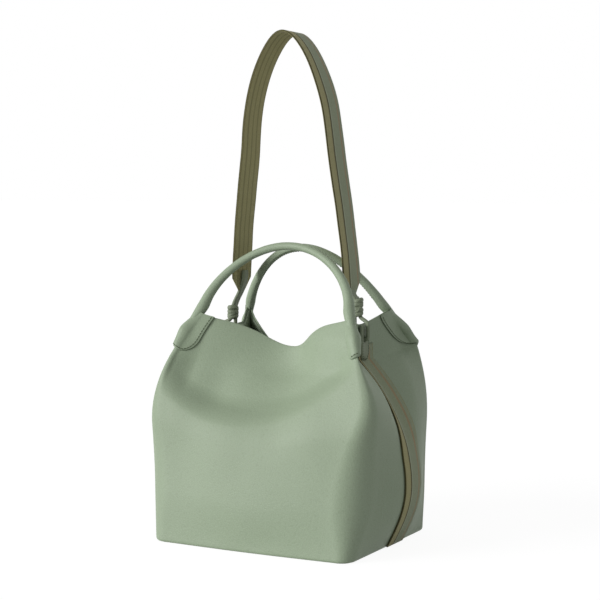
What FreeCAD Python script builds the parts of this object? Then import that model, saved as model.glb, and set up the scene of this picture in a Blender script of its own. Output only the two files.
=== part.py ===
"""Soft leather bucket bag with two rolled handles and a webbing shoulder strap.

Millimetres.  +X to the wearer's right, -Y is the front, +Z up.  The origin is the middle of the
underside.  Front and back walls are one formula each: a point on the leather is given by u, which
runs from the left side line (-1) round the front corners to the right side line (+1), and by v,
which runs from the base (0) to the top edge (1).
"""
import FreeCAD, Part
import math
import os
from collections import namedtuple

Vec = FreeCAD.Vector

# ------------------------------------------------------------------ base and walls
BASE_WIDTH = 237.0          # corner to corner across X
BASE_DEPTH = 198.0          # corner to corner across Y
BASE_EDGE_RADIUS = 4.0      # soft turned edge all round the underside
CORNER_RADIUS = 16.0        # plan radius of the four corners at the base
CORNER_RADIUS_TOP = 8.0     # and at the top edge
CORNER_FULLNESS = 0.29      # share of its radius by which a corner stands fuller above the shoulder
CORNER_FULL_RISE = 60.0     # and the height over which it grows
CORNER_SWELL = 1.0          # the corners swell by this on the way up to the shoulder
SHOULDER_Z = 140.0          # above this height the corners lean inwards
LEATHER = 1.8               # wall leather, single layer
LIP_START = 0.42            # share of the height from which the lip leans back
LIP_POWER = 1.7             # and how late it does so
BELLY = 5.0                 # outward belly in the middle of the front and back

# ------------------------------------------------------------------ side folds
SIDE_LINE_Y = 6.0           # where the front and back walls meet, on both sides
SIDE_GAP = 0.4              # between the two raw edges under the webbing
SIDE_SWELL = 22.5           # how far the side line stands out beyond the base
SIDE_SWELL_Z = 70.0         # height of that widest point
SIDE_TOP_X = 80.0           # side line at the top edge, tucked inwards
SIDE_TOP_Z = 238.0
FOLD_START_Z = 98.0         # the gusset fold opens above this height
FOLD_FULL_Z = 193.0
FOLD_DEPTH = 18.0           # from the crest of the fold to its valley

# ------------------------------------------------------------------ handles
HANDLE_RADIUS_TOP = 4.1     # rolled handle at the top of its arch
HANDLE_RADIUS_ROOT = 6.2
HANDLE_TAPER = 3.0          # the higher, the nearer to the root the handle grows thick
ARCH_PEAK = 0.2             # how far the shoulders of the arch are drawn in; 0 is a round arch
HANDLE_WALL = 1.5           # leather cover over the cord core
CORE_CLEARANCE = 0.15
ROOT_BALL_RADIUS = 6.5      # rounded end, a little fuller than the tube
HANDLE_SIDES = 12
TAB_REACH = 23.0            # tab width on each side of the corner, near its foot
TAB_TOP_SHARE = 0.45        # the tabs narrow to this share of it at the top
TAB_NARROW_REACH = 9.0      # the front right tab is trimmed close to its core on the front
TAB_LEATHER = 1.6
TAB_RIDGE = 5.0             # the core raises the tab by this along the corner
TAB_RIDGE_WIDTH = 4.6
SEAT_GAP = 0.4              # running gap at every seat

# one record per wall: side of the bag, handle root, drop from the root to the top edge (which leaves
# the seat gap under the handle's ball), foot of the corner tabs, arch, top edge
Wall = namedtuple("Wall", "name sign root_x root_y root_z top_drop foot_x foot_y foot_z "
                          "lean arch_y arch_z arch_angle lip_z lip_x lip_back lip_width shelf shelf_power")
FRONT = Wall("front", -1, 87.0, 37.0, 251.0, 6.4, 105.0, 63.0, 208.0,
             1.5, 5.0, 315.0, 84.0, 210.0, 7.0, 26.0, 0.34, 16.0, 6.0)
BACK = Wall("back", 1, 82.0, 56.0, 251.0, 5.0, 105.0, 91.0, 208.0,
            2.5, 25.0, 312.5, 64.0, 203.0, 0.0, 28.0, 0.60, 40.0, 3.2)
WALLS = (FRONT, BACK)

# ------------------------------------------------------------------ webbing, strap and laces
WEBBING_WIDTH = 40.0
WEBBING = 1.8               # thickness of the woven band
SIDE_WEBBING_TOP_Z = 211.0
STRAP_Y = 11.0              # the strap stands between the two handles
STRAP_LEAN = -7.5           # its crown stands a little to the left of the middle
STRAP_END_X = 68.0          # half spread of the strap at its pointed ends
STRAP_END_Z = 265.0
STRAP_LOW_X = 64.5
STRAP_LOW_Z = 316.0
STRAP_MID_X = 51.5
STRAP_MID_Z = 418.0
STRAP_CROWN_X = 36.7        # the round top of the loop starts here
STRAP_CROWN_Z = 493.0
STRAP_TOP_Z = 539.5
STRAP_POINT_LENGTH = 14.0   # cut corners at each end
STRAP_POINT_WIDTH = 13.0
STRAP_END_WIDTH = 7.0       # leather strip that joins the webbing to the lace
STRAP_END_LEATHER = 2.4
STRAP_END_LAP = 22.0        # it lies on the webbing for this length
LACE_RADIUS = 2.1
LACE_BEND = 3.0
LACE_SIDES = 8
LACE_HOLE_Z = 220.0
LACE_HOLE_CLEARANCE = 0.9
LACE_CLEARANCE = 1.4        # from the leather to the strands on both sides of the hole
KNOT_RADIUS = 6.4
KNOT_TURNS = 3
KNOT_TURN_HEIGHT = 4.4
KNOT_CLEARANCE = 6.6        # from the top edge of the side up to the knot
KNOT_SIDES = 12
TONGUE_WIDTH = 17.0
TONGUE_LEATHER = 2.4
TONGUE_BOTTOM_Z = 198.0

# ------------------------------------------------------------------ inside
FACING = 1.2
FACING_SHARE = 0.15         # share of the wall height, counted down from the top edge
LINING = 0.8
LAYER_GAP = 0.35
BASE_LEATHER = 2.0
BASE_BOARD = 2.2
BOARD_INSET = 1.0           # from the underside's outline, clear of the turned edge
POCKET_SHARE = 0.30         # half width of the pocket, as a u of the back wall
POCKET_LOW = 0.23           # and its bottom and top, as shares of the wall height
POCKET_HIGH = 0.61
POCKET_LEATHER = 1.2

FRONT_SHARE = 0.475         # share of the half perimeter that is flat front
CORNER_SHARE = 0.12


def smooth(t):
    """Smooth step from 0 to 1."""
    t = max(0.0, min(1.0, t))
    return t * t * (3.0 - 2.0 * t)


def mix(a, b, t):
    return a + (b - a) * t


# ------------------------------------------------------------------ the form of the walls
def ridge(wall, z):
    """Half width and half depth of a corner at height z, measured to the outside of the leather."""
    swell = CORNER_SWELL * math.sin(0.5 * math.pi * min(z / SHOULDER_Z, 1.0))
    half_x = 0.5 * BASE_WIDTH + swell
    half_y = 0.5 * BASE_DEPTH + swell
    if z > wall.foot_z:
        t = (z - wall.foot_z) / (wall.root_z - wall.foot_z)
        return mix(wall.foot_x, wall.root_x, t), mix(wall.foot_y, wall.root_y, t)
    t = max(0.0, (z - SHOULDER_Z) / (wall.foot_z - SHOULDER_Z))
    return mix(half_x, wall.foot_x, t * t), mix(half_y, wall.foot_y, t ** wall.lean)


def wall_height(wall):
    return wall.root_z - wall.top_drop


def side_line_x(z):
    """X of the side line: it swells out low down and tucks inwards above."""
    widest = 0.5 * BASE_WIDTH + SIDE_SWELL
    if z < SIDE_SWELL_Z:
        return 0.5 * BASE_WIDTH + SIDE_SWELL * math.sin(0.5 * math.pi * z / SIDE_SWELL_Z)
    return mix(widest, SIDE_TOP_X, smooth((z - SIDE_SWELL_Z) / (SIDE_TOP_Z - SIDE_SWELL_Z)))


def top_edge_z(wall, u):
    """Height of the top edge: a shelf beside each handle and a dip in the middle."""
    corner = FRONT_SHARE + 0.5 * CORNER_SHARE
    top = wall_height(wall)
    if abs(u) >= corner:
        q = (abs(u) - corner) / (1.0 - corner)
        return mix(top, SIDE_TOP_Z, smooth(q))
    q = u / corner
    off_middle = abs(q - 2.0 * wall.lip_x / BASE_WIDTH)
    dip = (top - wall.shelf - wall.lip_z) * math.exp(-(off_middle / wall.lip_width) ** 2.2)
    return top - wall.shelf * (1.0 - abs(q) ** wall.shelf_power) - dip


def outside(wall, u, v, inset=0.0):
    """Point on the outside of a wall, as (x, y, z)."""
    z_corner = v * wall_height(wall)
    turn = 0.0
    if z_corner < BASE_EDGE_RADIUS:
        turn = BASE_EDGE_RADIUS - math.sqrt(BASE_EDGE_RADIUS ** 2 - (BASE_EDGE_RADIUS - z_corner) ** 2)
    shrink = turn + inset
    half_x, half_y = ridge(wall, z_corner)
    radius = mix(CORNER_RADIUS, CORNER_RADIUS_TOP, smooth(v)) - shrink
    fuller = CORNER_FULLNESS * radius * smooth((z_corner - SHOULDER_Z) / CORNER_FULL_RISE)
    half_x += fuller - shrink
    half_y += fuller - shrink
    s = abs(u)
    corner = FRONT_SHARE + 0.5 * CORNER_SHARE
    side_start = FRONT_SHARE + CORNER_SHARE
    side_y = -SIDE_LINE_Y * wall.sign
    if s <= FRONT_SHARE:
        x = (half_x - radius) * s / FRONT_SHARE
        y = -half_y
    elif s <= side_start:
        angle = 0.5 * math.pi * (s - FRONT_SHARE) / CORNER_SHARE
        x = half_x - radius + radius * math.sin(angle)
        y = -(half_y - radius) - radius * math.cos(angle)
    else:
        x = half_x
        y = mix(-(half_y - radius), side_y, (s - side_start) / (1.0 - side_start))
    if s < corner:
        middle = (1.0 - (s / corner) ** 2) ** 2
        lean_back = max(0.0, (v - LIP_START) / (1.0 - LIP_START)) ** LIP_POWER
        y += middle * (wall.lip_back * lean_back - BELLY * math.sin(math.pi * min(1.0, v / 0.8 + 0.12)))
    else:
        x += side_shift(wall, (s - corner) / (1.0 - corner), z_corner, half_x, shrink)
    z = v * top_edge_z(wall, u)
    return math.copysign(x, u), -y * wall.sign, z


def side_shift(wall, q, z, half_x, shrink):
    """How far the side stands out from the corner's width; q runs from the corner to the side line."""
    line_x = side_line_x(z) - shrink
    deep = FOLD_DEPTH * smooth((z - FOLD_START_Z) / (FOLD_FULL_Z - FOLD_START_Z))
    deep *= 1.0 - 0.5 * smooth((z - FOLD_FULL_Z) / (wall.root_z - FOLD_FULL_Z))
    crest_q = 0.80 - 0.70 * max(0.0, (z - FOLD_START_Z) / (wall.root_z - FOLD_START_Z))
    if q < crest_q:
        eased = (q / crest_q) ** 2 * 1.2 / (q / crest_q + 0.2)
        return (line_x + deep - half_x) * math.sin(0.5 * math.pi * eased)
    return line_x + deep - half_x - deep * smooth((q - crest_q) / (1.0 - crest_q))


def outward(wall, u, v):
    """Unit vector square to the wall, pointing out of the bag."""
    du = 0.004
    dv = 0.004
    u0 = max(-1.0, u - du)
    u1 = min(1.0, u + du)
    v0 = max(0.0, v - dv)
    v1 = v + dv
    if v1 * wall_height(wall) < BASE_EDGE_RADIUS:
        v0 = v
    across = Vec(*outside(wall, u1, v)) - Vec(*outside(wall, u0, v))
    along = Vec(*outside(wall, u, v1)) - Vec(*outside(wall, u, v0))
    normal = across.cross(along)
    normal.normalize()
    return normal * (-wall.sign)


def spread(start, stop, count):
    return [mix(start, stop, i / (count - 1.0)) for i in range(count)]


def across_stations(edge):
    """Stations of u for a whole wall: close together round the corners and in the folds."""
    side_start = FRONT_SHARE + CORNER_SHARE
    half = spread(0.25 * FRONT_SHARE, FRONT_SHARE, 4)
    half += spread(FRONT_SHARE, side_start, 5)[1:]
    half += spread(side_start, 1.0, 11)[1:-1] + [edge]
    return [-u for u in reversed(half)] + [0.0] + half


def height_stations(start, stop):
    """Stations of v between two heights, the same for every layer of the walls."""
    turned = BASE_EDGE_RADIUS / wall_height(FRONT)
    foot = FRONT.foot_z / wall_height(FRONT)
    marks = [turned, 0.12, 0.24, 0.36, 0.48, 0.60, 0.68, 0.75, 0.80, foot, 0.93]
    return [start] + [v for v in marks if start + 0.004 < v < stop - 0.004] + [stop]


def on_facets(wall, u, v):
    """Point on the flat facets between the stations, so that every layer follows the same facets."""
    us = across_stations(1.0)
    vs = height_stations(0.0, 1.0)
    i = sum(1 for station in us[1:-1] if station <= u)
    k = sum(1 for station in vs[1:-1] if station <= v)
    s = (u - us[i]) / (us[i + 1] - us[i])
    t = (v - vs[k]) / (vs[k + 1] - vs[k])
    low = Vec(*outside(wall, us[i], vs[k])) * (1.0 - s) + Vec(*outside(wall, us[i + 1], vs[k])) * s
    high = Vec(*outside(wall, us[i], vs[k + 1])) * (1.0 - s) + Vec(*outside(wall, us[i + 1], vs[k + 1])) * s
    return low * (1.0 - t) + high * t


def wall_point(wall, u, v, depth):
    """Point that lies depth under the outside of the leather (negative depth: above it)."""
    return on_facets(wall, u, v) - outward(wall, u, v) * depth


def walk(wall, u, v, distance):
    """The u that lies a distance (mm, signed) from u, measured along the wall at a constant v."""
    step = math.copysign(0.004, distance)
    here = Vec(*outside(wall, u, v))
    left = abs(distance)
    while left > 0.0 and abs(u + step) <= 1.0:
        ahead = Vec(*outside(wall, u + step, v))
        length = (ahead - here).Length
        if length > left:
            return u + step * left / length
        left -= length
        u += step
        here = ahead
    return u


# ------------------------------------------------------------------ solids
def triangle(a, b, c):
    return Part.Face(Part.makePolygon([a, b, c, a]))


def quad(a, b, c, d):
    """Two flat triangles over four corners."""
    return [triangle(a, b, c), triangle(a, c, d)]


def closed_solid(faces):
    """Solid from faces that meet edge to edge."""
    shell = Part.makeShell(faces)
    shell.sewShape()
    solid = Part.makeSolid(shell)
    if solid.Volume < 0:
        solid.reverse()
    return solid


def sheet_solid(outer, inner):
    """Closed solid between two skins of equal layout; each row of points is one section."""
    faces = []
    rows = len(outer)
    columns = len(outer[0])
    for k in range(rows - 1):
        for i in range(columns - 1):
            faces += quad(outer[k][i], outer[k][i + 1], outer[k + 1][i + 1], outer[k + 1][i])
            faces += quad(inner[k][i], inner[k + 1][i], inner[k + 1][i + 1], inner[k][i + 1])
        for i in (0, columns - 1):
            faces += quad(outer[k][i], outer[k + 1][i], inner[k + 1][i], inner[k][i])
    for k in (0, rows - 1):
        for i in range(columns - 1):
            faces += quad(outer[k][i], outer[k][i + 1], inner[k][i + 1], inner[k][i])
    return closed_solid(faces)


def wall_sheet(wall, us, vs, top_depth, bottom_depth):
    """Sheet that lies between two depths under the outside of a wall."""
    outer = [[wall_point(wall, u, v, top_depth) for u in us] for v in vs]
    inner = [[wall_point(wall, u, v, bottom_depth) for u in us] for v in vs]
    return sheet_solid(outer, inner)


def ring(centre, along, radius, sides):
    """Corners of a regular polygon square to a direction that is not along Y."""
    across = along.cross(Vec(0, 1, 0))
    across.normalize()
    up = across.cross(along)
    up.normalize()
    turns = [2.0 * math.pi * k / sides for k in range(sides)]
    return [centre + (across * math.cos(a) + up * math.sin(a)) * radius for a in turns]


def rings_solid(rings):
    """Closed solid over a row of rings, with a flat cap on each end."""
    faces = []
    sides = len(rings[0])
    for low, high in zip(rings, rings[1:]):
        for k in range(sides):
            faces += quad(low[k - 1], low[k], high[k], high[k - 1])
    for cap in (rings[0], rings[-1]):
        faces += [triangle(cap[0], cap[k], cap[k + 1]) for k in range(1, sides - 1)]
    return closed_solid(faces)


def tube(centres, radii, sides):
    """Faceted tube along a row of points."""
    rings = []
    for k, centre in enumerate(centres):
        along = centres[min(k + 1, len(centres) - 1)] - centres[max(k - 1, 0)]
        along.normalize()
        rings.append(ring(centre, along, radii[k], sides))
    return rings_solid(rings)


def lace_holes(shape):
    """Cut the two round holes that the laces run through at the top of the sides."""
    radius = LACE_RADIUS + LACE_HOLE_CLEARANCE
    ends = [Vec(x, SIDE_LINE_Y, LACE_HOLE_Z) for x in (-0.5 * BASE_WIDTH, 0.5 * BASE_WIDTH)]
    return shape.cut(tube(ends, [radius, radius], LACE_SIDES))


def root(wall, side):
    """Middle of a handle's rounded end; the handle turns about the line through both of them."""
    return Vec(side * wall.root_x, wall.sign * wall.root_y, wall.root_z)


# ------------------------------------------------------------------ walls and what lines them
def edge_share():
    """The u at which each wall stops, half the side gap short of the side line."""
    return 1.0 - 0.5 * SIDE_GAP / (0.5 * BASE_DEPTH)


def panel(wall):
    sheet = wall_sheet(wall, across_stations(edge_share()), height_stations(0.0, 1.0), 0.0, LEATHER)
    return lace_holes(sheet)


def facing(wall):
    """Leather band inside the top edge."""
    top = LEATHER + LAYER_GAP
    vs = height_stations(1.0 - FACING_SHARE, 0.99)
    sheet = wall_sheet(wall, across_stations(edge_share() - 0.01), vs, top, top + FACING)
    return lace_holes(sheet)


def lining(wall):
    top = LEATHER + LAYER_GAP
    vs = height_stations(0.035, 1.0 - FACING_SHARE - 0.012)
    return wall_sheet(wall, across_stations(edge_share() - 0.01), vs, top, top + LINING)


def pocket():
    """Flat patch pocket on the lining of the back wall."""
    top = LEATHER + LINING + 2.0 * LAYER_GAP
    us = [u for u in across_stations(1.0) if abs(u) < POCKET_SHARE]
    vs = [v for v in height_stations(0.0, 1.0) if POCKET_LOW < v < POCKET_HIGH]
    return wall_sheet(BACK, us, vs, top, top + POCKET_LEATHER)


def base_plate(inset, bottom, thickness):
    """Flat plate with the outline of the underside, drawn in by the inset."""
    us = [u for u in across_stations(1.0) if abs(u) <= FRONT_SHARE + CORNER_SHARE or abs(u) == 1.0]
    front = [Vec(*outside(FRONT, u, 0.0, inset)) for u in us]
    back = [Vec(*outside(BACK, u, 0.0, inset)) for u in reversed(us)]
    front = [Vec(p.x, p.y, bottom) for p in front]
    back = [Vec(p.x, p.y, bottom) for p in back[1:-1]]
    outline = Part.makePolygon(front + back + [front[0]])
    return Part.Face(outline).extrude(Vec(0, 0, thickness))


# ------------------------------------------------------------------ tabs at the corners
def tab(wall, side, front_reach):
    """Leather tab that wraps a corner below a handle, raised in the middle by the handle's core."""
    corner = FRONT_SHARE + 0.5 * CORNER_SHARE
    foot = (wall.foot_z - 1.0) / wall_height(wall)
    outer = []
    inner = []
    for t in (0.02, 0.07, 0.15, 0.28, 0.45, 0.7, 1.0):
        v = mix(foot, 1.0, t)
        rounding = (1.0 - (1.0 - min(1.0, t / 0.45)) ** 2.5) ** 0.4
        rounding *= mix(1.0, TAB_TOP_SHARE, smooth((t - 0.2) / 0.8))
        outer_row = []
        inner_row = []
        for share in (-1.0, -0.65, -0.35, -0.22, -0.1, 0.0, 0.1, 0.22, 0.35, 0.65, 1.0):
            reach = front_reach if share < 0 else TAB_REACH
            away = share * reach * rounding
            u = walk(wall, side * corner, v, side * away) if away else side * corner
            raised = TAB_RIDGE * math.exp(-(away / TAB_RIDGE_WIDTH) ** 2) * smooth(t / 0.35)
            outer_row.append(wall_point(wall, u, v, -SEAT_GAP - TAB_LEATHER - raised))
            inner_row.append(wall_point(wall, u, v, -SEAT_GAP))
        outer.append(outer_row)
        inner.append(inner_row)
    return sheet_solid(outer, inner)


# ------------------------------------------------------------------ rolled handles
def arch_point(wall, angle):
    """Point on the middle line of a handle; the angle runs from -arch_angle to +arch_angle."""
    end = math.radians(wall.arch_angle)
    rise = (math.cos(angle) - math.cos(end)) / (1.0 - math.cos(end))
    rise *= 1.0 - ARCH_PEAK * (1.0 - rise)
    return Vec(wall.root_x * math.sin(angle) / math.sin(end),
               wall.sign * mix(wall.root_y, wall.arch_y, rise),
               mix(wall.root_z, wall.arch_z, rise))


def handle_line(wall, trim, shrink, sections):
    """Middle points and radii of a tapering handle, its ends trimmed by an angle."""
    end = math.radians(wall.arch_angle)
    angles = spread(trim - end, end - trim, sections)
    radii = [mix(HANDLE_RADIUS_TOP, HANDLE_RADIUS_ROOT, (abs(a) / end) ** HANDLE_TAPER) - shrink for a in angles]
    return [arch_point(wall, a) for a in angles], radii


def rounded_end(centre, away):
    """Middle points and radii of the ball that closes a handle, from its tip to its middle."""
    angles = [math.radians(a) for a in (80, 60, 40, 20, 0)]
    return [centre + away * ROOT_BALL_RADIUS * math.sin(a) for a in angles], \
           [ROOT_BALL_RADIUS * math.cos(a) for a in angles]


def handle_cover(wall):
    trim = ROOT_BALL_RADIUS * 0.5 / wall.root_x
    centres, radii = handle_line(wall, trim, 0.0, 21)
    for side in (-1, 1):
        away = root(wall, side) - arch_point(wall, side * (math.radians(wall.arch_angle) - trim))
        away.normalize()
        end_centres, end_radii = rounded_end(root(wall, side), away)
        if side < 0:
            centres = end_centres + centres
            radii = end_radii + radii
        else:
            centres = centres + end_centres[::-1]
            radii = radii + end_radii[::-1]
    hollow = tube(*handle_line(wall, 0.01, HANDLE_WALL, 13), HANDLE_SIDES)
    return tube(centres, radii, HANDLE_SIDES).cut(hollow)


def handle_core(wall):
    return tube(*handle_line(wall, 0.02, HANDLE_WALL + 2.0 * CORE_CLEARANCE, 13), HANDLE_SIDES)


# ------------------------------------------------------------------ side webbing and tongues
def side_strip_point(side, v, away, depth):
    """Point beside a side line; away is negative on the front wall and positive on the back wall."""
    wall = FRONT if away < 0 else BACK
    u = walk(wall, side, v, -side * abs(away)) if away else side * 0.999
    return wall_point(wall, u, v, depth)


def side_strip(side, vs, aways, bottom, thickness):
    outer = [[side_strip_point(side, v, a, -bottom - thickness) for a in row] for v, row in zip(vs, aways)]
    inner = [[side_strip_point(side, v, a, -bottom) for a in row] for v, row in zip(vs, aways)]
    return sheet_solid(outer, inner)


def side_webbing(side):
    top = SIDE_WEBBING_TOP_Z / SIDE_TOP_Z
    vs = height_stations(BASE_EDGE_RADIUS / wall_height(FRONT), top)
    row = spread(-0.5 * WEBBING_WIDTH, 0.5 * WEBBING_WIDTH, 9)
    return side_strip(side, vs, [row] * len(vs), SEAT_GAP, WEBBING)


def tongue(side):
    """Leather tongue over the top of a side, round at the bottom, with the hole for the lace."""
    bottom = TONGUE_BOTTOM_Z / SIDE_TOP_Z
    vs = []
    rows = []
    for t in (0.03, 0.1, 0.22, 0.4, 0.6, 0.8, 1.0):
        half = 0.5 * TONGUE_WIDTH * math.sqrt(1.0 - (1.0 - min(1.0, t / 0.3)) ** 2)
        vs.append(mix(bottom, 1.0, t))
        rows.append(spread(-half, half, 5))
    return lace_holes(side_strip(side, vs, rows, 2.0 * SEAT_GAP + WEBBING, TONGUE_LEATHER))


# ------------------------------------------------------------------ laces and knots
def lace_x():
    """X of the outer strand beside the hole, X of it beside the top edge, and X of the inner strand."""
    wall_x = side_line_x(LACE_HOLE_Z * wall_height(FRONT) / SIDE_TOP_Z)
    stack = 2.0 * SEAT_GAP + WEBBING + TONGUE_LEATHER + LACE_RADIUS + LACE_CLEARANCE
    inner = SIDE_TOP_X - LEATHER - LAYER_GAP - FACING - LACE_RADIUS - LACE_CLEARANCE
    return wall_x + stack, SIDE_TOP_X + stack, inner


def knot_bottom_z():
    return SIDE_TOP_Z + KNOT_CLEARANCE


def rounded_path(corners, bend):
    """Points along a path through the corners, each inner corner cut by a short arc."""
    points = [corners[0]]
    for before, corner, after in zip(corners, corners[1:], corners[2:]):
        back = before - corner
        ahead = after - corner
        cut = min(bend / math.tan(0.5 * back.getAngle(ahead)), 0.45 * back.Length, 0.45 * ahead.Length)
        back.normalize()
        ahead.normalize()
        points.append(corner + back * cut)
        points.append(corner + (back + ahead) * cut * 0.22)
        points.append(corner + ahead * cut)
    return points + [corners[-1]]


def lace(side):
    """Round lace: from the knot down the outside, through the hole and up again on the inside."""
    outer, over, inner = lace_x()
    high = knot_bottom_z() - SEAT_GAP
    apart = 0.5 * KNOT_RADIUS
    turn = SIDE_TOP_Z + 1.5
    corners = [(SIDE_TOP_X + apart, high), (SIDE_TOP_X + apart, high - 1.5), (over, turn),
               (outer, LACE_HOLE_Z), (inner, LACE_HOLE_Z), (inner, turn),
               (SIDE_TOP_X - apart, high - 1.5), (SIDE_TOP_X - apart, high)]
    path = rounded_path([Vec(x, SIDE_LINE_Y, z) for x, z in corners], LACE_BEND)
    return on_side(tube(path, [LACE_RADIUS] * len(path), LACE_SIDES), side)


def on_side(shape, side):
    if side > 0:
        return shape
    return shape.mirror(Vec(0, 0, 0), Vec(1, 0, 0))


def knot(side):
    """Wrapped knot: round turns of lace stacked on one another."""
    bulge = 0.5 * KNOT_TURN_HEIGHT
    waist = KNOT_RADIUS - 0.7 * bulge
    radii = [waist]
    heights = [knot_bottom_z()]
    for turn in range(KNOT_TURNS):
        for share, rise in ((0.15, 0.7), (0.5, 1.0), (0.85, 0.7), (1.0, 0.0)):
            heights.append(knot_bottom_z() + (turn + share) * KNOT_TURN_HEIGHT)
            radii.append(mix(waist, KNOT_RADIUS, rise))
    return on_side(tube([Vec(SIDE_TOP_X, SIDE_LINE_Y, z) for z in heights], radii, KNOT_SIDES), side)


# ------------------------------------------------------------------ shoulder strap
def strap_points(count):
    """Points and directions along the loop, in its own plane, from the left end to the right."""
    half = [(STRAP_END_X, STRAP_END_Z), (STRAP_LOW_X, STRAP_LOW_Z), (STRAP_MID_X, STRAP_MID_Z),
            (STRAP_CROWN_X, STRAP_CROWN_Z)]
    marks = [(-x, z) for x, z in half] + [(0.0, STRAP_TOP_Z)] + [(x, z) for x, z in reversed(half)]
    lean = STRAP_LEAN / (STRAP_TOP_Z - STRAP_END_Z)
    curve = Part.BSplineCurve()
    curve.interpolate(Points=[Vec(x + lean * (z - STRAP_END_Z), STRAP_Y, z) for x, z in marks])
    places = spread(curve.FirstParameter, curve.LastParameter, count)
    return [(curve.value(t), curve.tangent(t)[0]) for t in places]


def strap_webbing():
    """The woven loop, with the corners of both ends cut to a point."""
    outer = []
    inner = []
    for point, along in strap_points(45):
        wide = min(1.0, (point.z - STRAP_END_Z) / STRAP_POINT_LENGTH)
        half = 0.5 * mix(STRAP_POINT_WIDTH, WEBBING_WIDTH, wide)
        out = Vec(-along.z, 0, along.x) * 0.5 * WEBBING
        across = [Vec(0, y, 0) for y in spread(-half, half, 3)]
        outer.append([point + y + out for y in across])
        inner.append([point + y - out for y in across])
    return sheet_solid(outer, inner)


def strap_end(side):
    """Leather strip that lies on the inner face of the webbing and runs down into the knot."""
    half = 0.5 * STRAP_END_WIDTH
    shelf = 0.5 * WEBBING + SEAT_GAP
    slope = (STRAP_LOW_X - STRAP_END_X) / (STRAP_LOW_Z - STRAP_END_Z)
    top_z = STRAP_END_Z + STRAP_END_LAP
    knot_top = knot_bottom_z() + KNOT_TURNS * KNOT_TURN_HEIGHT + SEAT_GAP
    line = [(STRAP_END_X + slope * STRAP_END_LAP - shelf, STRAP_Y, top_z),
            (STRAP_END_X + slope * 0.5 * STRAP_END_LAP - shelf, STRAP_Y, mix(STRAP_END_Z, top_z, 0.5)),
            (STRAP_END_X - shelf, STRAP_Y, STRAP_END_Z),
            (mix(STRAP_END_X - shelf, SIDE_TOP_X, 0.6), mix(STRAP_Y, SIDE_LINE_Y, 0.5),
             mix(STRAP_END_Z, knot_top, 0.6)),
            (SIDE_TOP_X, SIDE_LINE_Y, knot_top)]
    outer = []
    inner = []
    for k, (x, y, z) in enumerate(line):
        narrow = half * (1.0 if k < 3 else 0.8)
        outer.append([Vec(x, y - narrow, z), Vec(x, y + narrow, z)])
        inner.append([Vec(x - STRAP_END_LEATHER, y - narrow, z), Vec(x - STRAP_END_LEATHER, y + narrow, z)])
    return on_side(sheet_solid(outer, inner), side)


# ------------------------------------------------------------------ assembly
def build():
    """All the pieces, by node name."""
    nodes = {}
    for wall in WALLS:
        nodes[wall.name + "_panel"] = panel(wall)
        nodes[wall.name + "_facing"] = facing(wall)
        nodes[wall.name + "_lining"] = lining(wall)
        nodes[wall.name + "_handle"] = handle_cover(wall)
        nodes[wall.name + "_handle_core"] = handle_core(wall)
        for side, word in ((-1, "left"), (1, "right")):
            narrow = wall is FRONT and side > 0
            reach = TAB_NARROW_REACH if narrow else TAB_REACH
            nodes[wall.name + "_" + word + "_handle_tab"] = tab(wall, side, reach)
    nodes["base_panel"] = base_plate(LEATHER + LAYER_GAP, 0.0, BASE_LEATHER)
    nodes["base_board"] = base_plate(BOARD_INSET, BASE_LEATHER, BASE_BOARD)
    nodes["base_lining"] = base_plate(BOARD_INSET, BASE_LEATHER + BASE_BOARD, LINING)
    nodes["inner_pocket"] = pocket()
    for side, word in ((-1, "left"), (1, "right")):
        nodes[word + "_side_webbing"] = side_webbing(side)
        nodes[word + "_side_tongue"] = tongue(side)
        nodes[word + "_lace"] = lace(side)
        nodes[word + "_strap_knot"] = knot(side)
        nodes[word + "_strap_end"] = strap_end(side)
    nodes["strap_webbing"] = strap_webbing()
    return nodes


def main():
    os.makedirs("parts", exist_ok=True)
    for name, shape in build().items():
        shape.exportStep("parts/" + name + ".step")
        print("%-26s valid %s  solids %d" % (name, shape.isValid(), len(shape.Solids)))


main()
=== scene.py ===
"""Looks of a soft leather bucket handbag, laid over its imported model.

The two walls are one formula each, a softer and more settled form of the model's own: a point on the
leather is given by u, from the left side line (-1) round the corners to the right side line (+1), and
by v, from the base (0) to the top edge (1).  Lengths inside the classes are millimetres; meshes are
metres.
"""
import logging
import math
from collections.abc import Callable, Sequence
from dataclasses import dataclass, field
from enum import Enum

import bmesh
import bpy
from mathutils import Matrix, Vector, noise


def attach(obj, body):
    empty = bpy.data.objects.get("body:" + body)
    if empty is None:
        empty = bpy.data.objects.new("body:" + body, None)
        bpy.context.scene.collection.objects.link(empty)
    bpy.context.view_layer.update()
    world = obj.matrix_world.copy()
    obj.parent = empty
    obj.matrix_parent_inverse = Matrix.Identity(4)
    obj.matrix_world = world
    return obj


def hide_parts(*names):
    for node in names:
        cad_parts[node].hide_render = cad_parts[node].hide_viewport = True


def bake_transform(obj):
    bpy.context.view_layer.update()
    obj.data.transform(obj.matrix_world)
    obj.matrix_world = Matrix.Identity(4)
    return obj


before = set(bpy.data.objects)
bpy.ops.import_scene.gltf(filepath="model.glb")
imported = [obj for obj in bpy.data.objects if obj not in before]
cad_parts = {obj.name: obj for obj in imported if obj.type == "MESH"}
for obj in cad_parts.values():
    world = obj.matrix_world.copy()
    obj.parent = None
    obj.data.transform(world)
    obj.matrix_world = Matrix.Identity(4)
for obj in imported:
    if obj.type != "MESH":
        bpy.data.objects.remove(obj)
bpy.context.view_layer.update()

MM = 0.001
U_STEP = 0.004              # small step along a wall, for directions and distances
SEAM_TURN = 0.42            # direction of a handle's seam from its underside, in radians
HANDLE_TAIL_POINTS = 8      # points of a handle under each tab
NARROW_TAB_REACH = 15.0     # a tab with less front reach than this has no seam there
STRAND_INSET = 1.9          # from a knot's outside to the middle of its strands
LOG = logging.getLogger("handbag")

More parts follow.
